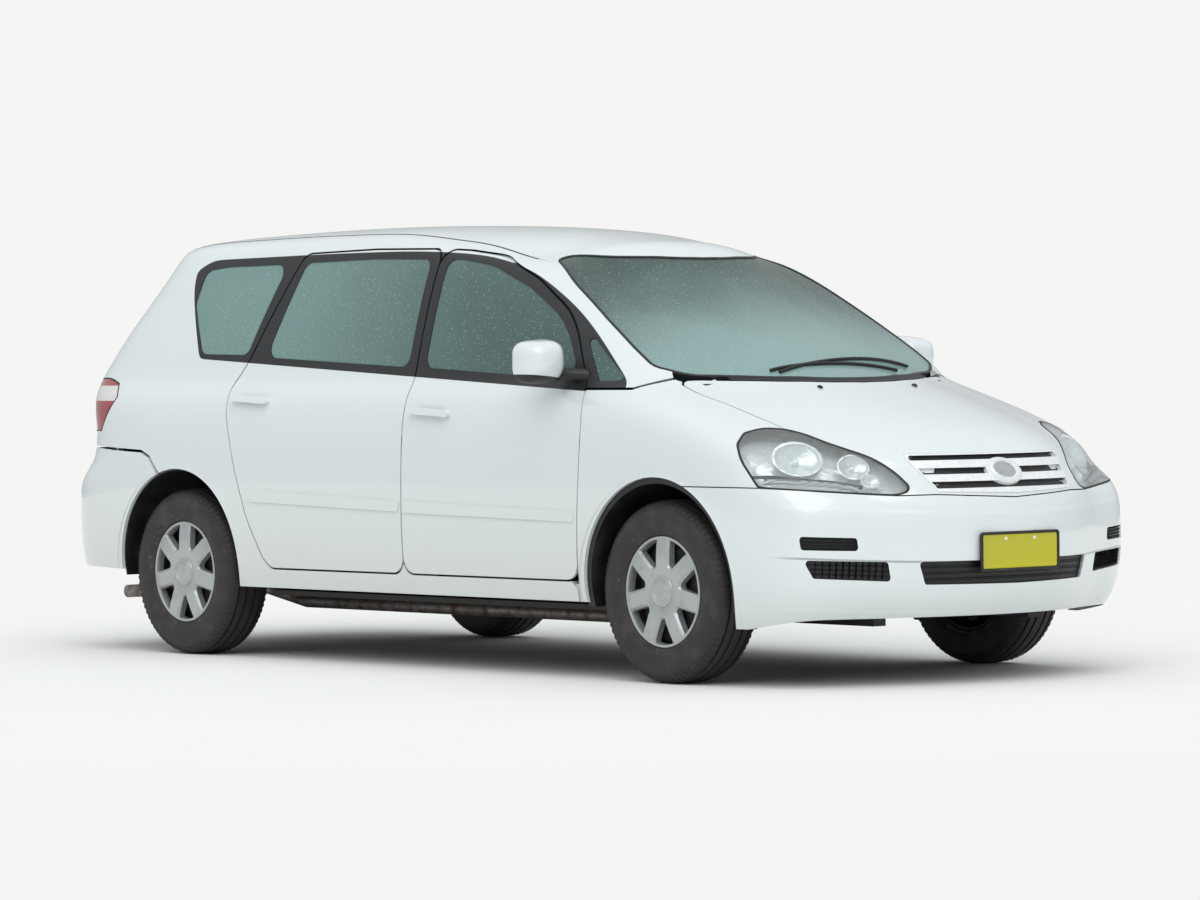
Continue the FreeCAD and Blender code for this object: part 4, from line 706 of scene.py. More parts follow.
# The steel rim behind the cover, with its disc and the flange that the bolts clamp
barrel_profile = (
    (0.1965, 0.060), (0.1965, -0.0845), (0.1885, -0.0845), (0.183, -0.070), (0.183, 0.030), (0.150, 0.046),
    (0.075, 0.040), (0.055, 0.058), (0.031, 0.058), (0.031, 0.030), (0.070, 0.030), (0.150, 0.034),
    (0.1865, 0.020), (0.190, 0.058), (0.1965, 0.060))
wheels = {"front_left": (FRONT_AXLE, 1), "front_right": (FRONT_AXLE, -1), "rear_left": (REAR_AXLE, 1),
          "rear_right": (REAR_AXLE, -1)}
HALF_TRACK = 0.753


def at_wheel(lot, axle, side):
    """A shape round an axle moved to one wheel; the right wheels are turned half round."""
    places, faces = lot
    return [(axle + side * px, side * (HALF_TRACK + py), WHEEL_HEIGHT + pz) for px, py, pz in places], faces


cover, barrel = wheel_cover(), spun(barrel_profile, 72)
for wheel, (axle, side) in wheels.items():
    body = "wheel_" + wheel
    add_piece("cover_" + wheel, body, "wheel_alloy", wheel_silver, at_wheel(cover, axle, side), sharp=28)
    rim = add_piece("steel_rim_" + wheel, body, "wheel_alloy", wheel_steel, at_wheel(barrel, axle, side))
    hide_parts("rim_" + wheel)

# Tyres
# Radial tyres with three wide grooves round the tread, blocks over both shoulders and a rib that
# keeps the rim off the kerb. The rubber is brownish black, dusty low on the walls.
finish = start_finish("tyre_rubber")
radius = from_axle(finish)
patches = finish.noise(14.0, 7.0)
dusty = finish.ramp(patches, 0.42, 0.72) * (1 - finish.ramp(radius, 0.29, 0.315))
scuff = finish.ramp(finish.noise(60.0, 5.0), 0.62, 0.70) * finish.ramp(radius, 0.20, 0.206) * (
    1 - finish.ramp(radius, 0.222, 0.232))
rubber_tone = finish.mix(dusty * 0.75, (0.022, 0.020, 0.019), (0.062, 0.054, 0.047))
rubber_tone = finish.mix(scuff * 0.5, rubber_tone, (0.16, 0.15, 0.13))
rings_round = (radius * 900.0).math("SINE") * 0.5
tyre_rubber = finish.coat({
    "Base Color": rubber_tone, "Roughness": dusty * 0.15 + 0.62,
    "Normal": finish.bump(finish.noise(400.0, 3.0) + rings_round * 0.3, 0.0004, 0.6)})

# From the bead over the wall and the shoulder to the middle of the tread, as (radius, out)
tyre_half = [
    (0.1972, 0.0800), (0.1990, 0.0865), (0.2030, 0.0912), (0.2075, 0.0930), (0.2100, 0.0922),
    (0.2150, 0.0940), (0.2230, 0.0985), (0.2360, 0.1012), (0.2520, 0.1022), (0.2680, 0.1015),
    (0.2790, 0.0998), (0.2880, 0.0968), (0.2895, 0.0974), (0.2915, 0.0966), (0.2925, 0.0950),
    (0.3010, 0.0912), (0.3080, 0.0858), (0.3135, 0.0790), (0.3175, 0.0705), (0.3200, 0.0620),
    (0.3205, 0.0600), (0.3130, 0.0585), (0.3130, 0.0515), (0.3218, 0.0500), (0.3230, 0.0380),
    (0.3236, 0.0260), (0.3155, 0.0245), (0.3155, 0.0170), (0.3238, 0.0155), (0.3240, 0.0)]
other_half = [(radius_here, -out) for radius_here, out in tyre_half[-2::-1]]
tyre_shape = spun(tyre_half + other_half + tyre_half[:1], 120)


def plain_mesh(piece):
    """What a piece's modifiers make of it, as a new mesh."""
    return bpy.data.meshes.new_from_object(piece.evaluated_get(bpy.context.evaluated_depsgraph_get()))


def ring_of(name, lot, material, count, move):
    """One small shape repeated round an axle by Geometry Nodes and then turned into a plain mesh."""
    tree = bpy.data.node_groups.new(name + "_ring", "GeometryNodeTree")
    face = tree.interface
    face.new_socket("Shape", in_out="INPUT", socket_type="NodeSocketGeometry")
    count_input = face.new_socket("Count", in_out="INPUT", socket_type="NodeSocketInt")
    turn_input = face.new_socket("Turn", in_out="INPUT", socket_type="NodeSocketVector")
    face.new_socket("Ring", in_out="OUTPUT", socket_type="NodeSocketGeometry")
    made = {}
    for kind in ("NodeGroupInput", "NodeGroupOutput", "GeometryNodeMeshLine", "GeometryNodeInstanceOnPoints",
                 "GeometryNodeInputIndex", "ShaderNodeVectorMath", "GeometryNodeRealizeInstances",
                 "GeometryNodeSetMaterial"):
        made[kind] = tree.nodes.new(kind)
    entry, line = made["NodeGroupInput"], made["GeometryNodeMeshLine"]
    spread, scale = made["GeometryNodeInstanceOnPoints"], made["ShaderNodeVectorMath"]
    real, paint_node = made["GeometryNodeRealizeInstances"], made["GeometryNodeSetMaterial"]
    scale.operation = "SCALE"
    line.inputs["Offset"].default_value = (0, 0, 0)
    paint_node.inputs["Material"].default_value = material
    for source, target_socket in (
            (entry.outputs["Count"], line.inputs["Count"]),
            (line.outputs["Mesh"], spread.inputs["Points"]),
            (entry.outputs["Shape"], spread.inputs["Instance"]),
            (entry.outputs["Turn"], scale.inputs[0]),
            (made["GeometryNodeInputIndex"].outputs[0], scale.inputs["Scale"]),
            (scale.outputs["Vector"], spread.inputs["Rotation"]),
            (spread.outputs["Instances"], real.inputs["Geometry"]),
            (real.outputs["Geometry"], paint_node.inputs["Geometry"]),
            (paint_node.outputs["Geometry"], made["NodeGroupOutput"].inputs[0])):
        tree.links.new(source, target_socket)
    seed = solid_piece(name, *lot, material)
    ring = seed.modifiers.new("ring", "NODES")
    ring.node_group = tree
    ring[count_input.identifier] = count
    ring[turn_input.identifier] = (0, math.tau / count, 0)
    bpy.context.view_layer.update()
    mesh = plain_mesh(seed)
    seed.modifiers.remove(ring)
    seed.data = mesh
    mesh.transform(Matrix.Translation(move))
    return seed


lug_line = ((0.2965, 0.0945), (0.3045, 0.0900), (0.3110, 0.0832), (0.3155, 0.0765), (0.3190, 0.0680),
            (0.3212, 0.0605))
lug_rings = []
for place, (radius_here, out) in enumerate(lug_line):
    rise = 0.0004 if place == 0 else 0.0016
    ring = []
    for half, lift in ((-0.0042, 0), (-0.0034, rise), (0.0034, rise), (0.0042, 0)):
        ring.append((half, out + lift * 0.75, radius_here + lift * 0.75))
    lug_rings.append(ring)
lug_vertices, lug_faces = loft(lug_rings)
lug_faces += [(0, 1, 2, 3), (20, 21, 22, 23)]
lug_pair = together((lug_vertices, lug_faces),
                    ([(px + 0.006, -py, pz) for px, py, pz in lug_vertices], lug_faces))
LUG_COUNT = 78
for wheel, (axle, side) in wheels.items():
    tyre = add_piece("tread_" + wheel, "wheel_" + wheel, "tyre_rubber", tyre_rubber,
                     at_wheel(tyre_shape, axle, side), sharp=40)
    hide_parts("tyre_" + wheel)
    lugs = ring_of("shoulder_lugs_" + wheel, lug_pair, tyre_rubber, LUG_COUNT,
                   (axle, side * HALF_TRACK, WHEEL_HEIGHT))
    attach(lugs, "wheel_" + wheel)

# Black plastic and rubber
# Seals, ditch mouldings, liners and grilles are moulded in black. The rubber lines run along the
# edges of the panels and panes they close.
finish = start_finish("black_plastic")
grain = finish.noise(700.0, 2.0)
dust = finish.ramp(finish.noise(9.0, 5.0), 0.45, 0.8)
black_plastic = finish.coat({
    "Base Color": finish.mix(dust, (0.010, 0.010, 0.011), (0.030, 0.029, 0.028)),
    "Roughness": dust * 0.2 + 0.42, "Normal": finish.bump(grain, 0.00012, 0.6)})
finish = start_finish("seal_rubber")
seal_rubber = finish.coat({
    "Base Color": finish.mix(finish.noise(40.0, 4.0), (0.006, 0.006, 0.007),
                             (0.018, 0.018, 0.018)),
    "Roughness": finish.noise(120.0) * 0.2 + 0.4})


def rim_loops(piece):
    """The closed lines where a panel's outer face meets its sides, each as a row of places."""
    work = bmesh.new()
    work.from_mesh(piece.data)
    outer, outer_depth = set(), 0.009
    for face in work.faces:
        _, direction, depth = on_skin(face.calc_center_median())
        if depth < outer_depth and face.normal.dot(direction) > 0.8:
            outer.add(face)
    ahead = {}
    for edge in work.edges:
        own = [face for face in edge.link_faces if face in outer]
        if len(own) == 1 and len(edge.link_faces) == 2:
            for loop in own[0].loops:
                if loop.edge is edge:
                    ahead[loop.vert] = loop.link_loop_next.vert
    loops = []
    while ahead:
        start, after = ahead.popitem()
        places = [start.co.copy()]
        while after is not start and after in ahead:
            places.append(after.co.copy())
            after = ahead.pop(after)
        loops.append(places)
    work.free()
    return [loop for loop in loops if len(loop) > 6]


def evened(places, spacing, closed=False):
    """The same line with places at even distances."""
    line = [np.array(place) for place in places]
    if closed:
        line.append(line[0])
    steps = [0.0]
    for one, other in zip(line, line[1:]):
        steps.append(steps[-1] + float(np.linalg.norm(other - one)))
    count = max(2, int(steps[-1] / spacing))
    at = np.linspace(0, steps[-1], count + 1)
    line = np.array(line)
    even = np.stack([np.interp(at, steps, line[:, axis]) for axis in range(3)], 1)
    return [Vector(place) for place in (even[:-1] if closed else even)]


def skin_strip(places, width, out, inner, closed=False):
    """A strip that follows the skin through the places, its outer face standing out by so much."""
    rings = []
    count = len(places)
    for i, place in enumerate(places):
        before = places[i - 1] if closed or i else places[i]
        after = places[(i + 1) % count] if closed or i < count - 1 else places[i]
        on, direction, _ = on_skin(place)
        run = (after - before).normalized()
        beside = direction.cross(run).normalized()
        half = width / 2
        outline = ((-half, -inner), (-half, out * 0.55), (-half * 0.7, out), (half * 0.7, out),
                   (half, out * 0.55), (half, -inner))
        rings.append([on + beside * b + direction * h for b, h in outline])
    vertices, faces = loft(rings)
    sides = len(rings[0])
    last = (count - 1) * sides
    if closed:
        faces += [(last + i, last + (i + 1) % sides, (i + 1) % sides, i) for i in range(sides)]
    else:
        faces += [tuple(range(sides)), tuple(last + i for i in range(sides))]
    return vertices, faces


def edge_seal(name, node, spacing, width, out, inner):
    """A rubber line round each outer edge of a shown panel, pane or lamp."""
    lines = [skin_strip(evened(loop, spacing, True), width, out, inner, True)
             for loop in rim_loops(shown_panels[node])]
    add_piece(name, nodes[node]["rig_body"], "black_plastic", seal_rubber, *lines, sharp=50)


edge_seal("glass_seal_body", "windshield", 0.02, 0.011, 0.0008, 0.006)
edge_seal("glass_seal_tailgate", "tailgate_glass", 0.02, 0.010, 0.0008, 0.006)


def mirrored(lot):
    """The same shape across the middle plane."""
    vertices, faces = lot
    return [(v[0], -v[1], v[2]) for v in vertices], faces


def both_sides(*lots):
    """The lots and their copies across the middle plane."""
    return [*lots, *[mirrored(lot) for lot in lots]]


def met_on_skin(x, y, z, heading):
    """Where a ray from outside the car meets its skin, which is modelled for the left half."""
    place, _, _, _ = skin_tree.ray_cast(Vector((x, max(abs(y), 0.001), z)), Vector(heading))
    place.y = y
    return place


def over_roof(x, y):
    return met_on_skin(x, y, 3, (0, 0, -1))


ditch = [over_roof(along(share), across(642)) for share in range(185, -785, -20)]
ditch_strip = skin_strip(ditch, 0.010, 0.0005, 0.004)
add_piece("roof_ditch_mouldings", "body", "black_plastic", seal_rubber, *both_sides(ditch_strip), sharp=50)


def finished(node, material):
    """A CAD node that keeps its shape and gets a better material."""
    for place in nodes[node].material_slots:
        place.material = material


for node in ("wheel_liners", "radiator_frame", "front_subframe", "rear_axle", "front_knuckle_left",
             "front_knuckle_right"):
    finished(node, black_plastic)

# Headlamps
# A clear moulded lens over a silver bowl with a wide round reflector, a smaller one inboard, a
# ribbed strip along the bottom and a black gasket all round.
finish = start_finish("lamp_lens")
sheen = finish.node("ShaderNodeFresnel", None, {"IOR": 1.5})
haze = finish.ramp(finish.noise(30.0, 4.0), 0.4, 0.8)
lens_face = finish.principled({"Base Color": (0.85, 0.88, 0.88), "Roughness": 0.06})
lens_clear = finish.node("ShaderNodeBsdfTransparent", None, {"Color": (0.95, 0.97, 0.97)})
lamp_lens = finish.done(finish.node("ShaderNodeMixShader", None, {
    0: sheen * 0.7 + haze * 0.06 + 0.10, 1: lens_clear, 2: lens_face}))
finish = start_finish("lamp_silver")
# The reflector gets a pale tone, lighter and darker cell by cell: painted reflections of its chrome facets;
# the same cells make the facets' bump
facets_and_painted_glints = finish.cells(38.0)
lamp_silver = finish.coat({
    "Base Color": finish.mix(facets_and_painted_glints, (0.90, 0.92, 0.92), (0.74, 0.78, 0.79)),
    "Metallic": 0.35, "Roughness": finish.noise(50.0) * 0.15 + 0.12,
    "Normal": finish.bump(facets_and_painted_glints, 0.004, 0.5)})
dress("headlamps", "lamp_lens", lamp_lens, lamp_silver, 0.004, longest=0.05, rounds=2)
edge_seal("lamp_gaskets", "headlamps", 0.012, 0.007, 0.001, 0.008)


def bowl(middle, heading, wide, high, deep):
    """A faceted reflector with its bulb shield, open along its heading."""
    heading = heading.normalized()
    side = Vector((0, 0, 1)).cross(heading).normalized()
    top = heading.cross(side)
    rings = []
    for share, back_step in ((1.0, -0.004), (1.06, 0.0), (1.0, 0.0), (0.94, 0.002), (0.85, 0.18),
                             (0.65, 0.42), (0.45, 0.62), (0.28, 0.80), (0.16, 0.90), (0.13, 0.5),
                             (0.11, 0.35), (0.0, 0.30)):
        ring = []
        for step, a in enumerate(angles(28)):
            size = share * (1.015 if step % 2 else 1)
            place = side * (math.cos(a) * wide * size) + top * (math.sin(a) * high * size)
            ring.append(middle + place - heading * (deep * back_step))
        rings.append(ring)
    return loft(rings)


lamp_lots = []
for (lx, ly, lz), wide, high, deep, sink in (((1.958, 0.690, 0.806), 0.088, 0.066, 0.034, 0.020),
                                             ((2.074, 0.535, 0.770), 0.056, 0.045, 0.026, 0.018),
                                             ((2.138, 0.517, 0.722), 0.034, 0.026, 0.016, 0.012)):
    place, direction, _ = on_skin(Vector((lx, ly, lz)))
    heading = direction * 0.8 + Vector((0.35, 0.05, 0))
    lamp_lots.append(bowl(place - direction * sink, heading, wide, high, deep))
add_piece("reflectors", "body", "lamp_lens", lamp_silver, *both_sides(*lamp_lots), sharp=12)
finish = start_finish("lamp_strip")
# The ribs are painted pale on their crests and dark in their grooves, a painted highlight and shade, besides
# the ribs' bump
ribs_and_painted_rib_shade = ((finish.x - finish.y) * 620.0).math("SINE") * 0.5 + 0.5
lamp_strip = finish.coat({
    "Base Color": finish.mix(ribs_and_painted_rib_shade, (0.30, 0.32, 0.33), (0.62, 0.65, 0.66)),
    "Metallic": 0.6, "Roughness": 0.3, "Normal": finish.bump(ribs_and_painted_rib_shade, 0.001, 0.8)})
strip_places = ((1.925, 0.822, 0.716), (2.010, 0.745, 0.709), (2.085, 0.640, 0.702), (2.140, 0.575, 0.693))
shelf_places = ((1.880, 0.845, 0.738), (2.010, 0.742, 0.728), (2.085, 0.636, 0.719), (2.150, 0.560, 0.708))
for name, material, places, spacing, sizes in (
        ("lamp_strips", lamp_strip, strip_places, 0.006, (0.017, -0.008, 0.016)),
        ("lamp_shelves", black_plastic, shelf_places, 0.02, (0.004, -0.005, 0.02))):
    strip = skin_strip(evened(places, spacing), *sizes)
    add_piece(name, "body", "lamp_lens", material, *both_sides(strip), sharp=50)

# Grille
# A dark recess behind bright moulded bars, let into the hood, with a plain ringed disc fixed over
# its middle.
finish = start_finish("bright_metal")
wear = finish.ramp(finish.noise(45.0, 5.0), 0.4, 0.8)
bright_metal = finish.coat({
    "Base Color": finish.mix(wear, (0.90, 0.92, 0.93), (0.78, 0.80, 0.81)), "Metallic": 0.35,
    "Roughness": wear * 0.12 + 0.30, "Normal": finish.bump(finish.noise(240.0), 0.0001, 0.3)})
dress("grille", "grille_metal", bright_metal, black_plastic, 0.0105, longest=0.04)


def ahead_of(y, z):
    """The place on the nose straight ahead of a place across and up."""
    return met_on_skin(4, y, z, (-1, 0, 0))


disc_middle = ahead_of(0.0, 0.742)
tilt = on_skin(disc_middle)[1]
upright = Vector((0, 1, 0)).cross(tilt) * -1
disc_rings = []
for share, out in ((1.32, -0.012), (1.30, 0.002), (1.20, 0.006), (1.04, 0.0065), (1.0, 0.009),
                   (0.93, 0.0105), (0.86, 0.009), (0.84, 0.0055), (0.80, 0.005), (0.4, 0.0065),
                   (0.0, 0.007)):
    disc_rings.append([disc_middle + Vector((0, math.cos(a) * 0.064 * share, 0))
                        + upright * (math.sin(a) * 0.043 * share) + tilt * out for a in angles(64)])
disc_marks = [mark for mark in (0, 0, 0, 1, 1, 1, 1, 1, 2, 2) for _ in range(64)]
add_piece("plain_badge_disc", "hood", "grille_metal", [white_paint, bright_metal, wheel_silver],
          loft(disc_rings), sharp=40, face_finish=disc_marks)

# Bumper openings
# Black moulded backs with bars across: plain bars in the middle intake, close ribs in the upper side
# slots and a fine grid in the lower ones.
finished("lower_grille", black_plastic)


def bar_across(z0, z1, y0, y1, height, out=-0.011, steps=16):
    """A bar behind the bumper's skin, from one place across and up to another."""
    line = [ahead_of(y0 + (y1 - y0) * i / steps, z0 + (z1 - z0) * i / steps) for i in range(steps + 1)]
    return skin_strip(line, height, out, inner=0.0138)


bar_lots = []
for share in (0.24, 0.5, 0.76):
    z = up(211) + (up(262) - up(211)) * share
    half = across(434 + 32 * share)
    bar_lots.append(bar_across(z, z, -half, half, 0.0055, steps=40))
side_lots = []
for share in (0.14, 0.38, 0.62, 0.86):
    side_lots.append(bar_across(up(290 + 29 * share), up(287 + 27 * share), across(900), across(699),
                                0.0032))
for share in (0.25, 0.5, 0.75):
    side_lots.append(bar_across(up(232 + 38 * share), up(222 + 41 * share), across(888), across(576), 0.0026,
                                out=-0.0115))
for share in np.linspace(0.08, 0.92, 11):
    y = across(880 - 310 * share)
    side_lots.append(bar_across(up(234 - 10 * share), up(268 - 5 * share), y, y, 0.0026, out=-0.0122,
                                steps=3))
add_piece("intake_bars", "body", "black_plastic", black_plastic, *bar_lots, *both_sides(*side_lots),
          sharp=50)

# Number plate
# A blank pressed plate with a raised edge, in a black plastic frame. Two screws hold both to the
# front bumper.
finish = start_finish("plate_yellow")
specks = finish.ramp(finish.noise(160.0, 4.0), 0.6, 0.75)
plate_yellow = finish.coat({
    "Base Color": finish.mix(specks * 0.4, (0.50, 0.47, 0.02), (0.36, 0.33, 0.04)),
    "Roughness": finish.noise(80.0) * 0.1 + 0.35})


def rounded_outline(half_a, half_b, radius, steps):
    """A rectangle with rounded corners, as pairs measured from its middle."""
    outline = []
    for quarter in range(4):
        middle_a = (half_a - radius) * (1 if quarter in (0, 3) else -1)
        middle_b = (half_b - radius) * (1 if quarter in (0, 1) else -1)
        for step in range(steps + 1):
            a = math.pi / 2 * (quarter + step / steps)
            outline.append((middle_a + radius * math.cos(a), middle_b + radius * math.sin(a)))
    return outline


def plate_rings(*sizes):
    return [[(out, y, z) for y, z in rounded_outline(half_y, half_z, radius, 6)]
            for half_y, half_z, radius, out in sizes]


plate_frame = loft(plate_rings(
    (0.178, 0.060, 0.006, -0.004), (0.193, 0.068, 0.012, -0.004), (0.194, 0.069, 0.012, 0.002),
    (0.192, 0.067, 0.011, 0.005), (0.184, 0.060, 0.008, 0.005), (0.183, 0.059, 0.008, 0.001)))
pressed = loft(plate_rings(
    (0.183, 0.0595, 0.008, 0.0005), (0.182, 0.0585, 0.008, 0.0018), (0.179, 0.0555, 0.006, 0.0026),
    (0.177, 0.0535, 0.005, 0.0016), (0.090, 0.02, 0.003, 0.0016)))
pressed[1].append(tuple(range(len(pressed[0]) - 28, len(pressed[0]))))
screw = loft([[(out, radius_here * math.cos(a), radius_here * math.sin(a)) for a in angles(16)]
              for radius_here, out in ((0.006, 0.001), (0.006, 0.003), (0.0045, 0.0042), (0.0, 0.0044))])
plate_x, plate_z, screw_y, screw_z = 2.3445, 0.463, 0.07, 0.044
plate_lots, plate_marks = [], []
for (places, faces), shift, lift, mark in ((plate_frame, 0, 0, 1), (pressed, 0, 0, 0),
                                           (screw, screw_y, screw_z, 2), (screw, -screw_y, screw_z, 2)):
    plate_lots.append(([(plate_x + vx, vy + shift, plate_z + vz + lift) for vx, vy, vz in places], faces))
    plate_marks += [mark] * len(faces)
add_piece("front_plate", "body", "black_plastic", [plate_yellow, black_plastic, bright_metal], *plate_lots,
          sharp=40, face_finish=plate_marks)

# Door mirrors
# A deep rounded housing of painted plastic on a black base, with the glass set into its rear face
# and a short foot on the black corner of the door.
finish = start_finish("mirror_shell")
white_part = finish.ramp(finish.z - (finish.y.math("ABSOLUTE") - 0.93) * 0.10, 1.083, 1.0842)
mirror_tone = finish.mix(white_part, (0.012, 0.012, 0.013), (0.725, 0.780, 0.790))
mirror_shell = finish.coat({
    "Base Color": mirror_tone, "Roughness": 0.5 - white_part * 0.25, "Coat Weight": white_part,
    "Normal": finish.bump(finish.noise(420.0, 1.0), 0.00004, 0.5)})
finish = start_finish("mirror_glass")
mirror_glass = finish.coat({
    "Base Color": (0.70, 0.73, 0.74), "Metallic": 1.0,
    "Roughness": finish.noise(60.0) * 0.03 + 0.02})
MIRROR_HALF_WIDE, MIRROR_HALF_TALL, MIRROR_DEEP, MIRROR_TALL = 0.087, 0.083, 0.128, 0.165


def squared(value, power):
    """A sine or cosine drawn outwards, which squares up a round outline."""
    return math.copysign(abs(value) ** power, value)


def mirror_shape(middle, side, sections):
    """Squared ovals at shares of the housing's depth, each narrower towards its top outer corner."""
    rings, corner_power = [], 0.62
    for depth_share, size in sections:
        ring = []
        for a in angles(48):
            wide = MIRROR_HALF_WIDE * size * squared(math.cos(a), corner_power)
            tall = MIRROR_HALF_TALL * size * squared(math.sin(a), corner_power)
            outward = 0.5 + 0.5 * wide / MIRROR_HALF_WIDE
            narrowing = 1 - 0.18 * outward * max(0.0, tall / MIRROR_HALF_TALL)
            ring.append((middle.x + MIRROR_DEEP * depth_share - 0.02 * wide, middle.y + side * wide,
                         middle.z + tall * narrowing))
        rings.append(ring)
    return loft(rings)


for side_name, side in (("left", 1), ("right", -1)):
    low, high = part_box("mirror_" + side_name)
    outer_y = max(abs(low.y), abs(high.y))
    middle = Vector((low.x, side * (outer_y - 0.089), high.z - MIRROR_TALL / 2))
    shell = mirror_shape(middle, side, ((0.02, 0.90), (0.0, 0.95), (0.02, 0.985), (0.12, 1.0), (0.35, 0.985),
                                        (0.6, 0.92), (0.8, 0.80), (0.92, 0.62), (0.98, 0.40), (1.0, 0.0)))
    pane = mirror_shape(middle, side, ((0.02, 0.90), (0.05, 0.88), (0.05, 0.0)))
    start = middle + Vector((0.075, side * -0.05, -0.045))
    end = Vector((along(402), side * 0.800, up(652)))
    foot_rings = []
    for share in (0, 0.15, 0.4, 0.7, 0.9, 1.0):
        place = start.lerp(end, share)
        waist = math.sin(math.pi * share)
        wide, tall = 0.045 - 0.012 * waist, 0.026 - 0.004 * waist
        foot_rings.append([place + Vector((math.cos(a) * wide, 0, math.sin(a) * tall)) for a in angles(24)])
    foot = loft(foot_rings)
    foot[1].extend([tuple(range(24)), tuple(range(120, 144))])
    marks = [0] * len(shell[1]) + [1] * len(pane[1]) + [2] * len(foot[1])
    piece = add_piece("mirror_housing_" + side_name, "front_door_" + side_name, "mirror_shell",
                      [mirror_shell, mirror_glass, black_plastic], shell, pane, foot, sharp=45,
                      face_finish=marks)
    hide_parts("mirror_" + side_name)

# Cowl, wipers and washers
# A black grating under the windshield, two wiper arms with their blades, and two washer jets that
# stand on the hood.
finish = start_finish("cowl_grating")
# The slots are painted darker than the bars between them, a painted shade in their recesses; the bump sinks
# them as well
slots_and_painted_slot_shade = finish.ramp((finish.y * 420.0).math("SINE"), 0.2, 0.5)
cowl_grating = finish.coat({
    "Base Color": finish.mix(slots_and_painted_slot_shade, (0.012, 0.012, 0.012), (0.003, 0.003, 0.003)),
    "Roughness": slots_and_painted_slot_shade * 0.2 + 0.5,
    "Normal": finish.bump(slots_and_painted_slot_shade * -1.0 + finish.noise(600.0) * 0.1, 0.002, 0.6)})
finished("cowl", cowl_grating)
finished("wipers", seal_rubber)
jet_lots = []
for side in (1, -1):
    base = over_roof(1.588, side * 0.234)
    rings = []
    for share, lift in ((1.0, -0.002), (1.0, 0.002), (0.9, 0.005), (0.6, 0.008), (0.0, 0.009)):
        back_step = 0.003 if lift > 0.004 else 0
        rings.append([base + Vector((math.cos(a) * 0.012 * share - back_step,
                                     math.sin(a) * 0.0085 * share, lift)) for a in angles(20)])
    jet_lots.append(loft(rings))
add_piece("washer_jets", "hood", "black_plastic", black_plastic, *jet_lots)

# Cabin trim
# Moulded grey plastic lines the doors and pillars and a pale cloth the roof, clipped to the steel.
# Short carpet covers the floor.
finish = start_finish("cabin_trim")
trim_tone = finish.mix(finish.ramp(finish.z, 1.42, 1.50), (0.085, 0.085, 0.080), (0.42, 0.41, 0.38))
cabin_trim = finish.coat({
    "Base Color": finish.mix(finish.noise(30.0, 4.0) * 0.25, trim_tone, (0.05, 0.05, 0.048)),
    "Roughness": finish.noise(90.0) * 0.1 + 0.7,
    "Normal": finish.bump(finish.noise(850.0, 2.0), 0.0002, 0.7)})
finish = start_finish("carpet")
carpet = finish.coat({
    "Base Color": finish.mix(finish.noise(500.0, 3.0), (0.020, 0.020, 0.020),
                             (0.07, 0.068, 0.064)),
    "Roughness": finish.noise(60.0) * 0.1 + 0.88,
    "Normal": finish.bump(finish.noise(900.0, 2.0), 0.0015, 0.8)})
for node in ("roof_panel", "tailgate") + side_panels:
    panel = shown_panels[node].data
    panel.materials.append(cabin_trim)
    for face in panel.polygons:
        _, direction, depth = on_skin(face.center)
        if depth > 0.03 and face.normal.dot(direction) < -0.5 and face.center.z > 0.5:
            face.material_index = 1
finished("floor_pan", carpet)
finished("firewall", cabin_trim)

# Dashboard
# A grained plastic moulding across the car, bolted to the body. A hood shades its two gauges, and
# four slatted vents face the cabin.
finished("dashboard", cabin_trim)
finished("steering_wheel", black_plastic)


def hooded(x0, x1, y0, y1, z0, z1, slope):
    """A rounded housing that stands on the dashboard, open towards the driver."""
    rings = []
    for share, size in ((0.0, 0.9), (0.0, 1.0), (0.25, 1.0), (0.6, 0.93), (0.9, 0.7), (1.0, 0.2),
                        (1.0, 0.0)):
        ring = []
        for a in angles(32):
            rise = max(0.0, math.sin(a)) ** 0.7
            ring.append((x0 + (x1 - x0) * share,
                         (y0 + y1) / 2 + (y1 - y0) / 2 * squared(math.cos(a), 0.6) * size,
                         z0 + (z1 - z0) * rise * size - slope * share * rise))
        rings.append(ring)
    return loft(rings)


binnacle = hooded(0.712, 0.93, -0.56, -0.19, 1.03, 1.118, 0.03)
dash_lots = [binnacle]
gauge_wide, gauge_tall = 0.055, 0.055 * 0.68
for gauge_y in (-0.43, -0.32):
    rings = []
    for share, out in ((1.0, 0.0), (1.0, -0.006), (0.9, -0.006), (0.88, -0.001), (0.0, -0.001)):
        rings.append([(0.7115 + out, gauge_y + math.cos(a) * gauge_wide * share,
                       1.066 + math.sin(a) * gauge_tall * share) for a in angles(28)])
    dash_lots.append(loft(rings))
slat_outline = ((-0.006, 0), (0, 0.003), (0.02, 0.001), (0.02, -0.001))
for vent_x, vent_y in ((0.699, -0.62), (0.689, -0.09), (0.689, 0.09), (0.699, 0.62)):
    for slat in range(5):
        height = 0.975 + 0.014 * slat
        vertices, faces = loft([[(vent_x + dx, vent_y + shift, height + dz) for dx, dz in slat_outline]
                                for shift in (-0.055, 0.055)])
        dash_lots.append((vertices, faces + [(0, 1, 2, 3), (4, 5, 6, 7)]))
add_piece("dash_gauges_and_vents", "body", "cabin_trim", black_plastic, *dash_lots, sharp=50)

# Seats
# Foam cushions in grey cloth, swollen between their seams, on plastic skirts. Each front seat has a
# cushion, a back and a head restraint; the second and third rows are benches.
finish = start_finish("seat_cloth")
weave = (finish.y * 2400.0).math("SINE") * ((finish.x + finish.z) * 2400.0).math("SINE")
mottle = finish.noise(18.0, 5.0)
seat_cloth = finish.coat({
    "Base Color": finish.mix(weave * 0.25 + mottle * 0.5, (0.13, 0.13, 0.125), (0.23, 0.23, 0.22)),
    "Roughness": mottle * 0.1 + 0.82, "Normal": finish.bump(weave * 0.5 + mottle, 0.0006, 0.6)})


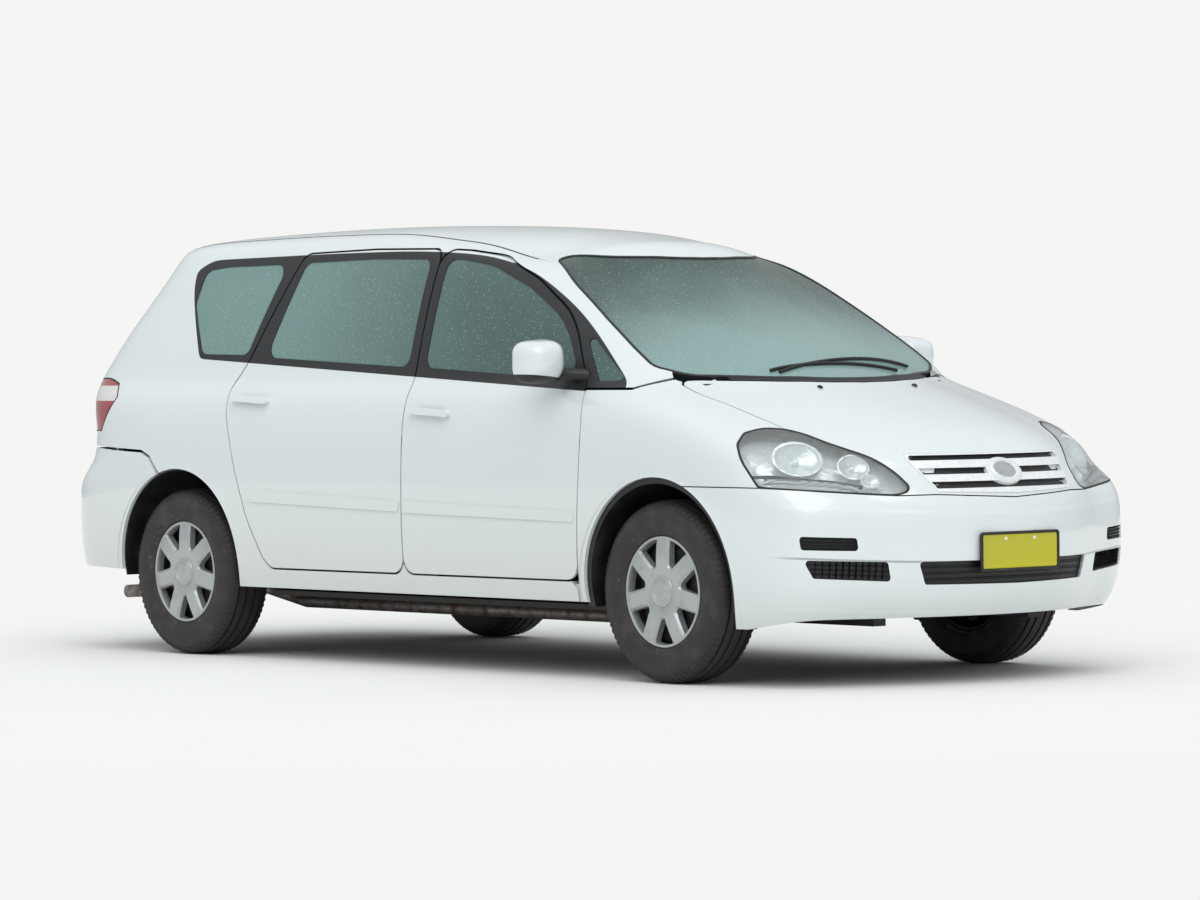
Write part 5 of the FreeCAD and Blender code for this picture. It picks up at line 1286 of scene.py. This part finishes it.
def pad_form(width, depth, thick, bolster):
    """A closed cushion lying flat: across, along and up from the middle of its underside."""
    rings = []
    for share, size in ((0.0, 0.0), (0.0, 0.72), (0.03, 0.90), (0.10, 1.0), (0.3, 1.0), (0.5, 1.0),
                        (0.7, 1.0), (0.90, 1.0), (0.97, 0.90), (1.0, 0.72), (1.0, 0.0)):
        ring = []
        for a in angles(40):
            u, v = squared(math.cos(a), 0.45), squared(math.sin(a), 0.45)
            lift = bolster * max(0.0, (abs(u) - 0.62) / 0.38) * (1 if v > 0 else 0)
            ring.append((u * width / 2 * (0.92 + 0.08 * size), depth * (share - 0.5),
                         thick / 2 + v * thick / 2 * size + lift * size))
        rings.append(ring)
    return loft(rings)


def swollen(piece, voxel, cap, seam_lines):
    """The pad puffed up by a cloth simulation, with its sewn channels pressed in afterwards."""
    remesh = piece.modifiers.new("remesh", "REMESH")
    remesh.mode = "VOXEL"
    remesh.voxel_size = voxel
    view = bpy.context.view_layer
    view.update()
    start = plain_mesh(piece)
    piece.modifiers.clear()
    piece.data = start
    before = np.array([v.co for v in start.vertices])
    cloth = piece.modifiers.new("puff", "CLOTH")
    cloth.settings.use_pressure = True
    cloth.settings.uniform_pressure_force = 4.0
    cloth.settings.effector_weights.gravity = 0.0
    last_frame = 20
    cloth.point_cache.frame_start, cloth.point_cache.frame_end = 1, last_frame
    for frame_number in range(1, last_frame + 1):
        bpy.context.scene.frame_set(frame_number)
    after = np.array([v.co for v in plain_mesh(piece).vertices])
    piece.modifiers.clear()
    bpy.context.scene.frame_set(1)
    move = after - before
    length = np.linalg.norm(move, axis=1, keepdims=True)
    after = before + move * np.minimum(1, cap / np.maximum(length, 1e-9))
    for vertex, place in zip(start.vertices, after):
        vertex.co = place
    smooth = piece.modifiers.new("smooth", "SUBSURF")
    smooth.levels = smooth.render_levels = 1
    view.update()
    fine = plain_mesh(piece)
    piece.modifiers.clear()
    piece.data = fine
    seam_half, seam_depth = 0.012, 0.005
    for vertex in fine.vertices:
        press = 0.0
        for axis, at in seam_lines:
            press = max(press, math.exp(-((vertex.co[axis] - at) / seam_half) ** 2))
        vertex.co -= vertex.normal * seam_depth * press
    fine.shade_smooth()
    return piece


def seat_pad(name, size, bolster, seam_lines, voxel, cap=0.014):
    """A cushion made smaller all round by the room that it swells into."""
    room = 0.008
    width, depth, thick = [length - 2 * room for length in size]
    vertices, faces = pad_form(width, depth, thick, bolster)
    piece = solid_piece(name, [(vx, vy, vz + room) for vx, vy, vz in vertices], faces, seat_cloth)
    return swollen(piece, voxel, cap, seam_lines)


def placed(piece, name, turn, move, mirror):
    """A copy of a pad turned and moved to its seat, mirrored across the car where asked."""
    mesh = piece.data.copy()
    mesh.transform(Matrix.Translation(move) @ turn)
    if mirror:
        mesh.transform(Matrix.Diagonal((1, -1, 1, 1)))
        mesh.flip_normals()
    pad = put_in(name, mesh)
    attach(pad, "body")


lying = Matrix(((0, -1, 0, 0), (1, 0, 0, 0), (0, 0, 1, 0), (0, 0, 0, 1)))
lean = math.radians(18)
up_back = Vector((-math.sin(lean), 0, math.cos(lean)))
forward = Vector((math.cos(lean), 0, math.sin(lean)))
leaning = Matrix(((0, up_back.x, forward.x, 0), (1, 0, 0, 0), (0, up_back.z, forward.z, 0), (0, 0, 0, 1)))


def seat_row(row, cushion_x, cushion_z, y, width, voxel, heads, mirror):
    """The pads of one seat or bench; the back leans away from the cushion's rear edge."""
    seams = [(0, -width * 0.3), (0, width * 0.3), (1, 0.02)]
    if width > 0.7:
        seams = [(0, share * width) for share in (-0.36, -0.14, 0.14, 0.36)]
    cushion = seat_pad(row + "_cushion_form", (width, 0.5, 0.13), 0.012, seams, voxel)
    back = seat_pad(row + "_back_form", (width, 0.60, 0.11), 0.016, seams, voxel)
    head = seat_pad(row + "_head_form", (0.24, 0.165, 0.085), 0.0, [], voxel * 0.7, cap=0.008)
    foot = Vector((cushion_x - 0.305, y, cushion_z))
    for mirrored_side in ([False, True] if mirror else [False]):
        side = "_left" if mirrored_side else "_right" if mirror else ""
        placed(cushion, row + "_cushion" + side, lying, Vector((cushion_x, y, cushion_z)), mirrored_side)
        placed(back, row + "_back" + side, leaning, foot + up_back * 0.30, mirrored_side)
        for number, head_y in enumerate(heads):
            place = foot + up_back * 0.685 + forward * 0.012
            place.y = y + head_y
            placed(head, row + "_head_" + str(number + 1) + side, leaning, place, mirrored_side)
    for form in (cushion, back, head):
        bpy.data.objects.remove(form)


def plan_block(middle_x, middle_y, half_long, half_wide, low, high):
    """A tapered block with rounded corners in plan and softened edges, closed at both ends."""
    radius, taper = 0.04, 0.03
    rings = []
    for height, inset in ((low, taper + 0.01), (low, taper), (high - 0.006, 0.0), (high, 0.006),
                          (high, 0.05)):
        outline = rounded_outline(half_long - inset, half_wide - inset, radius, 5)
        rings.append([(middle_x + x, middle_y + y, height) for x, y in outline])
    vertices, faces = loft(rings)
    return vertices, faces + [tuple(range(24)), tuple(range(96, 120))]


rows = (("front", 0.247, 0.452, -0.370, 0.50, 0.024, (0.0,), True, "front_seats"),
        ("second_row", -0.622, 0.452, 0.0, 1.18, 0.030, (-0.38, 0.0, 0.38), False, "second_row_seat"),
        ("third_row", -1.466, 0.582, 0.0, 0.86, 0.028, (-0.22, 0.22), False, "third_row_seat"))
for row, cushion_x, cushion_z, y, width, voxel, heads, mirror, node in rows:
    seat_row(row, cushion_x, cushion_z, y, width, voxel, heads, mirror)
    base_low = 0.27 if row != "third_row" else 0.53
    lots = [plan_block(cushion_x - 0.005, y, 0.225, width / 2 - 0.05, base_low, cushion_z + 0.008)]
    for head_y in heads:
        for post in (-0.05, 0.05):
            start = Vector((cushion_x - 0.253, y + head_y + post, cushion_z + 0.017)) + up_back * 0.56
            lots.append(loft([[start + up_back * rise + Vector((math.cos(a) * 0.005, math.sin(a) * 0.005, 0))
                               for a in angles(12)] for rise in (0.0, 0.05, 0.11)]))
    skirts = add_piece(row + "_seat_skirt", "body", "cabin_trim", cabin_trim,
                       *(both_sides(*lots) if mirror else lots), sharp=50)
    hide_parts(node)

# Tail lamps
# Red moulded lenses with a clear band across them, ribbed inside. A black gasket seals each lamp to
# the body.
finish = start_finish("tail_lens")
clear_part = finish.ramp(finish.z, 0.992, 0.994) * (1 - finish.ramp(finish.z, 1.052, 1.054))
ribs_and_painted_rib_shade = (finish.z * 700.0).math("SINE") * 0.5 + 0.5
squares = (finish.x * 500.0 + finish.y * 300.0).math("SINE") * 0.5 + 0.5
# The ribs and the squares of the clear band are painted in lighter and darker tones, a painted shade of
# their relief
lens_tone = finish.mix(clear_part, finish.mix(ribs_and_painted_rib_shade * 0.35, (0.36, 0.004, 0.008), (0.16, 0.002, 0.004)),
                       finish.mix(squares * 0.4, (0.78, 0.74, 0.74), (0.55, 0.50, 0.50)))
tail_lens = finish.coat({
    "Base Color": lens_tone, "Roughness": ribs_and_painted_rib_shade * 0.05 + 0.10, "Coat Weight": 0.8,
    "Normal": finish.bump(ribs_and_painted_rib_shade + squares * 0.5, 0.0006, 0.4)})
dress("tail_lamps", "tail_lens", tail_lens, black_plastic, 0.004, longest=0.04, rounds=2)
edge_seal("tail_lamp_gaskets", "tail_lamps", 0.012, 0.005, 0.0008, 0.008)

# Tailgate fittings
# A body-coloured bar with a release grip under it, a wiper on the glass and a red brake lamp at the
# top, all fixed to the tailgate's outer face.


def behind_at(y, z):
    """The place on the tail straight behind a place across and up."""
    return met_on_skin(-4, y, z, (1, 0, 0))


def tail_bar(name, slot_name, material, z, half, height, out):
    """A level bar across the middle of the tailgate."""
    line = [behind_at(half * step / 12, z) for step in range(-12, 13)]
    add_piece(name, "tailgate", slot_name, material, skin_strip(line, height, out, inner=0.004),
              sharp=50)


tail_bar("tailgate_bar", "paint", white_paint, 0.985, 0.36, 0.040, 0.011)
tail_bar("tailgate_grip", "black_plastic", black_plastic, 0.958, 0.11, 0.014, 0.006)
finish = start_finish("brake_red")
# The cells across the lamp are painted in lighter and darker reds, a painted shade of the lamp's ribs
cells = (finish.y * 260.0).math("SINE") * 0.5 + 0.5
brake_red = finish.coat({
    "Base Color": finish.mix(cells, (0.30, 0.004, 0.008), (0.14, 0.002, 0.004)), "Roughness": 0.15,
    "Normal": finish.bump(cells, 0.0006, 0.4)})
tail_bar("high_brake_lamp", "tail_lens", brake_red, 1.512, 0.15, 0.022, 0.005)
arm_places = [behind_at(y, z) for y, z in ((0.0, 1.075), (0.04, 1.12), (0.16, 1.19), (0.24, 1.235))]
arm = skin_strip(evened(arm_places, 0.015), 0.012, 0.014, -0.006)
blade_places = [behind_at(y, z) for y, z in ((0.02, 1.150), (0.24, 1.238), (0.40, 1.300))]
blade = skin_strip(evened(blade_places, 0.015), 0.009, 0.012, -0.001)
pivot = arm_places[0]
tail_way = on_skin(pivot)[1]
rings = []
for share, lift in ((1.0, -0.001), (1.0, 0.012), (0.85, 0.017), (0.0, 0.018)):
    radius_here = 0.019 * share
    rings.append([pivot + Vector((0, math.cos(a) * radius_here, math.sin(a) * radius_here)) + tail_way * lift
                  for a in angles(24)])
add_piece("rear_wiper", "tailgate", "black_plastic", black_plastic, arm, blade, loft(rings), sharp=50)

# Engine and exhaust
# A plain cast block that fills the engine bay, and a steel exhaust pipe with its silencer, hung
# under the floor.
finish = start_finish("engine_block")
grime = finish.ramp(finish.noise(12.0, 6.0), 0.4, 0.7)
engine_block = finish.coat({
    "Base Color": finish.mix(grime, (0.16, 0.16, 0.155), (0.05, 0.045, 0.04)), "Metallic": 0.6,
    "Roughness": grime * 0.3 + 0.45,
    "Normal": finish.bump(finish.noise(150.0, 3.0), 0.001, 0.7)})
finished("engine", engine_block)
finish = start_finish("exhaust_steel")
rust = finish.ramp(finish.noise(22.0, 6.0), 0.35, 0.75)
exhaust_steel = finish.coat({
    "Base Color": finish.mix(rust, (0.30, 0.29, 0.28), (0.14, 0.075, 0.04)), "Metallic": 0.7,
    "Roughness": rust * 0.35 + 0.38,
    "Normal": finish.bump(finish.noise(180.0, 4.0), 0.0006, 0.6)})
finished("exhaust", exhaust_steel)
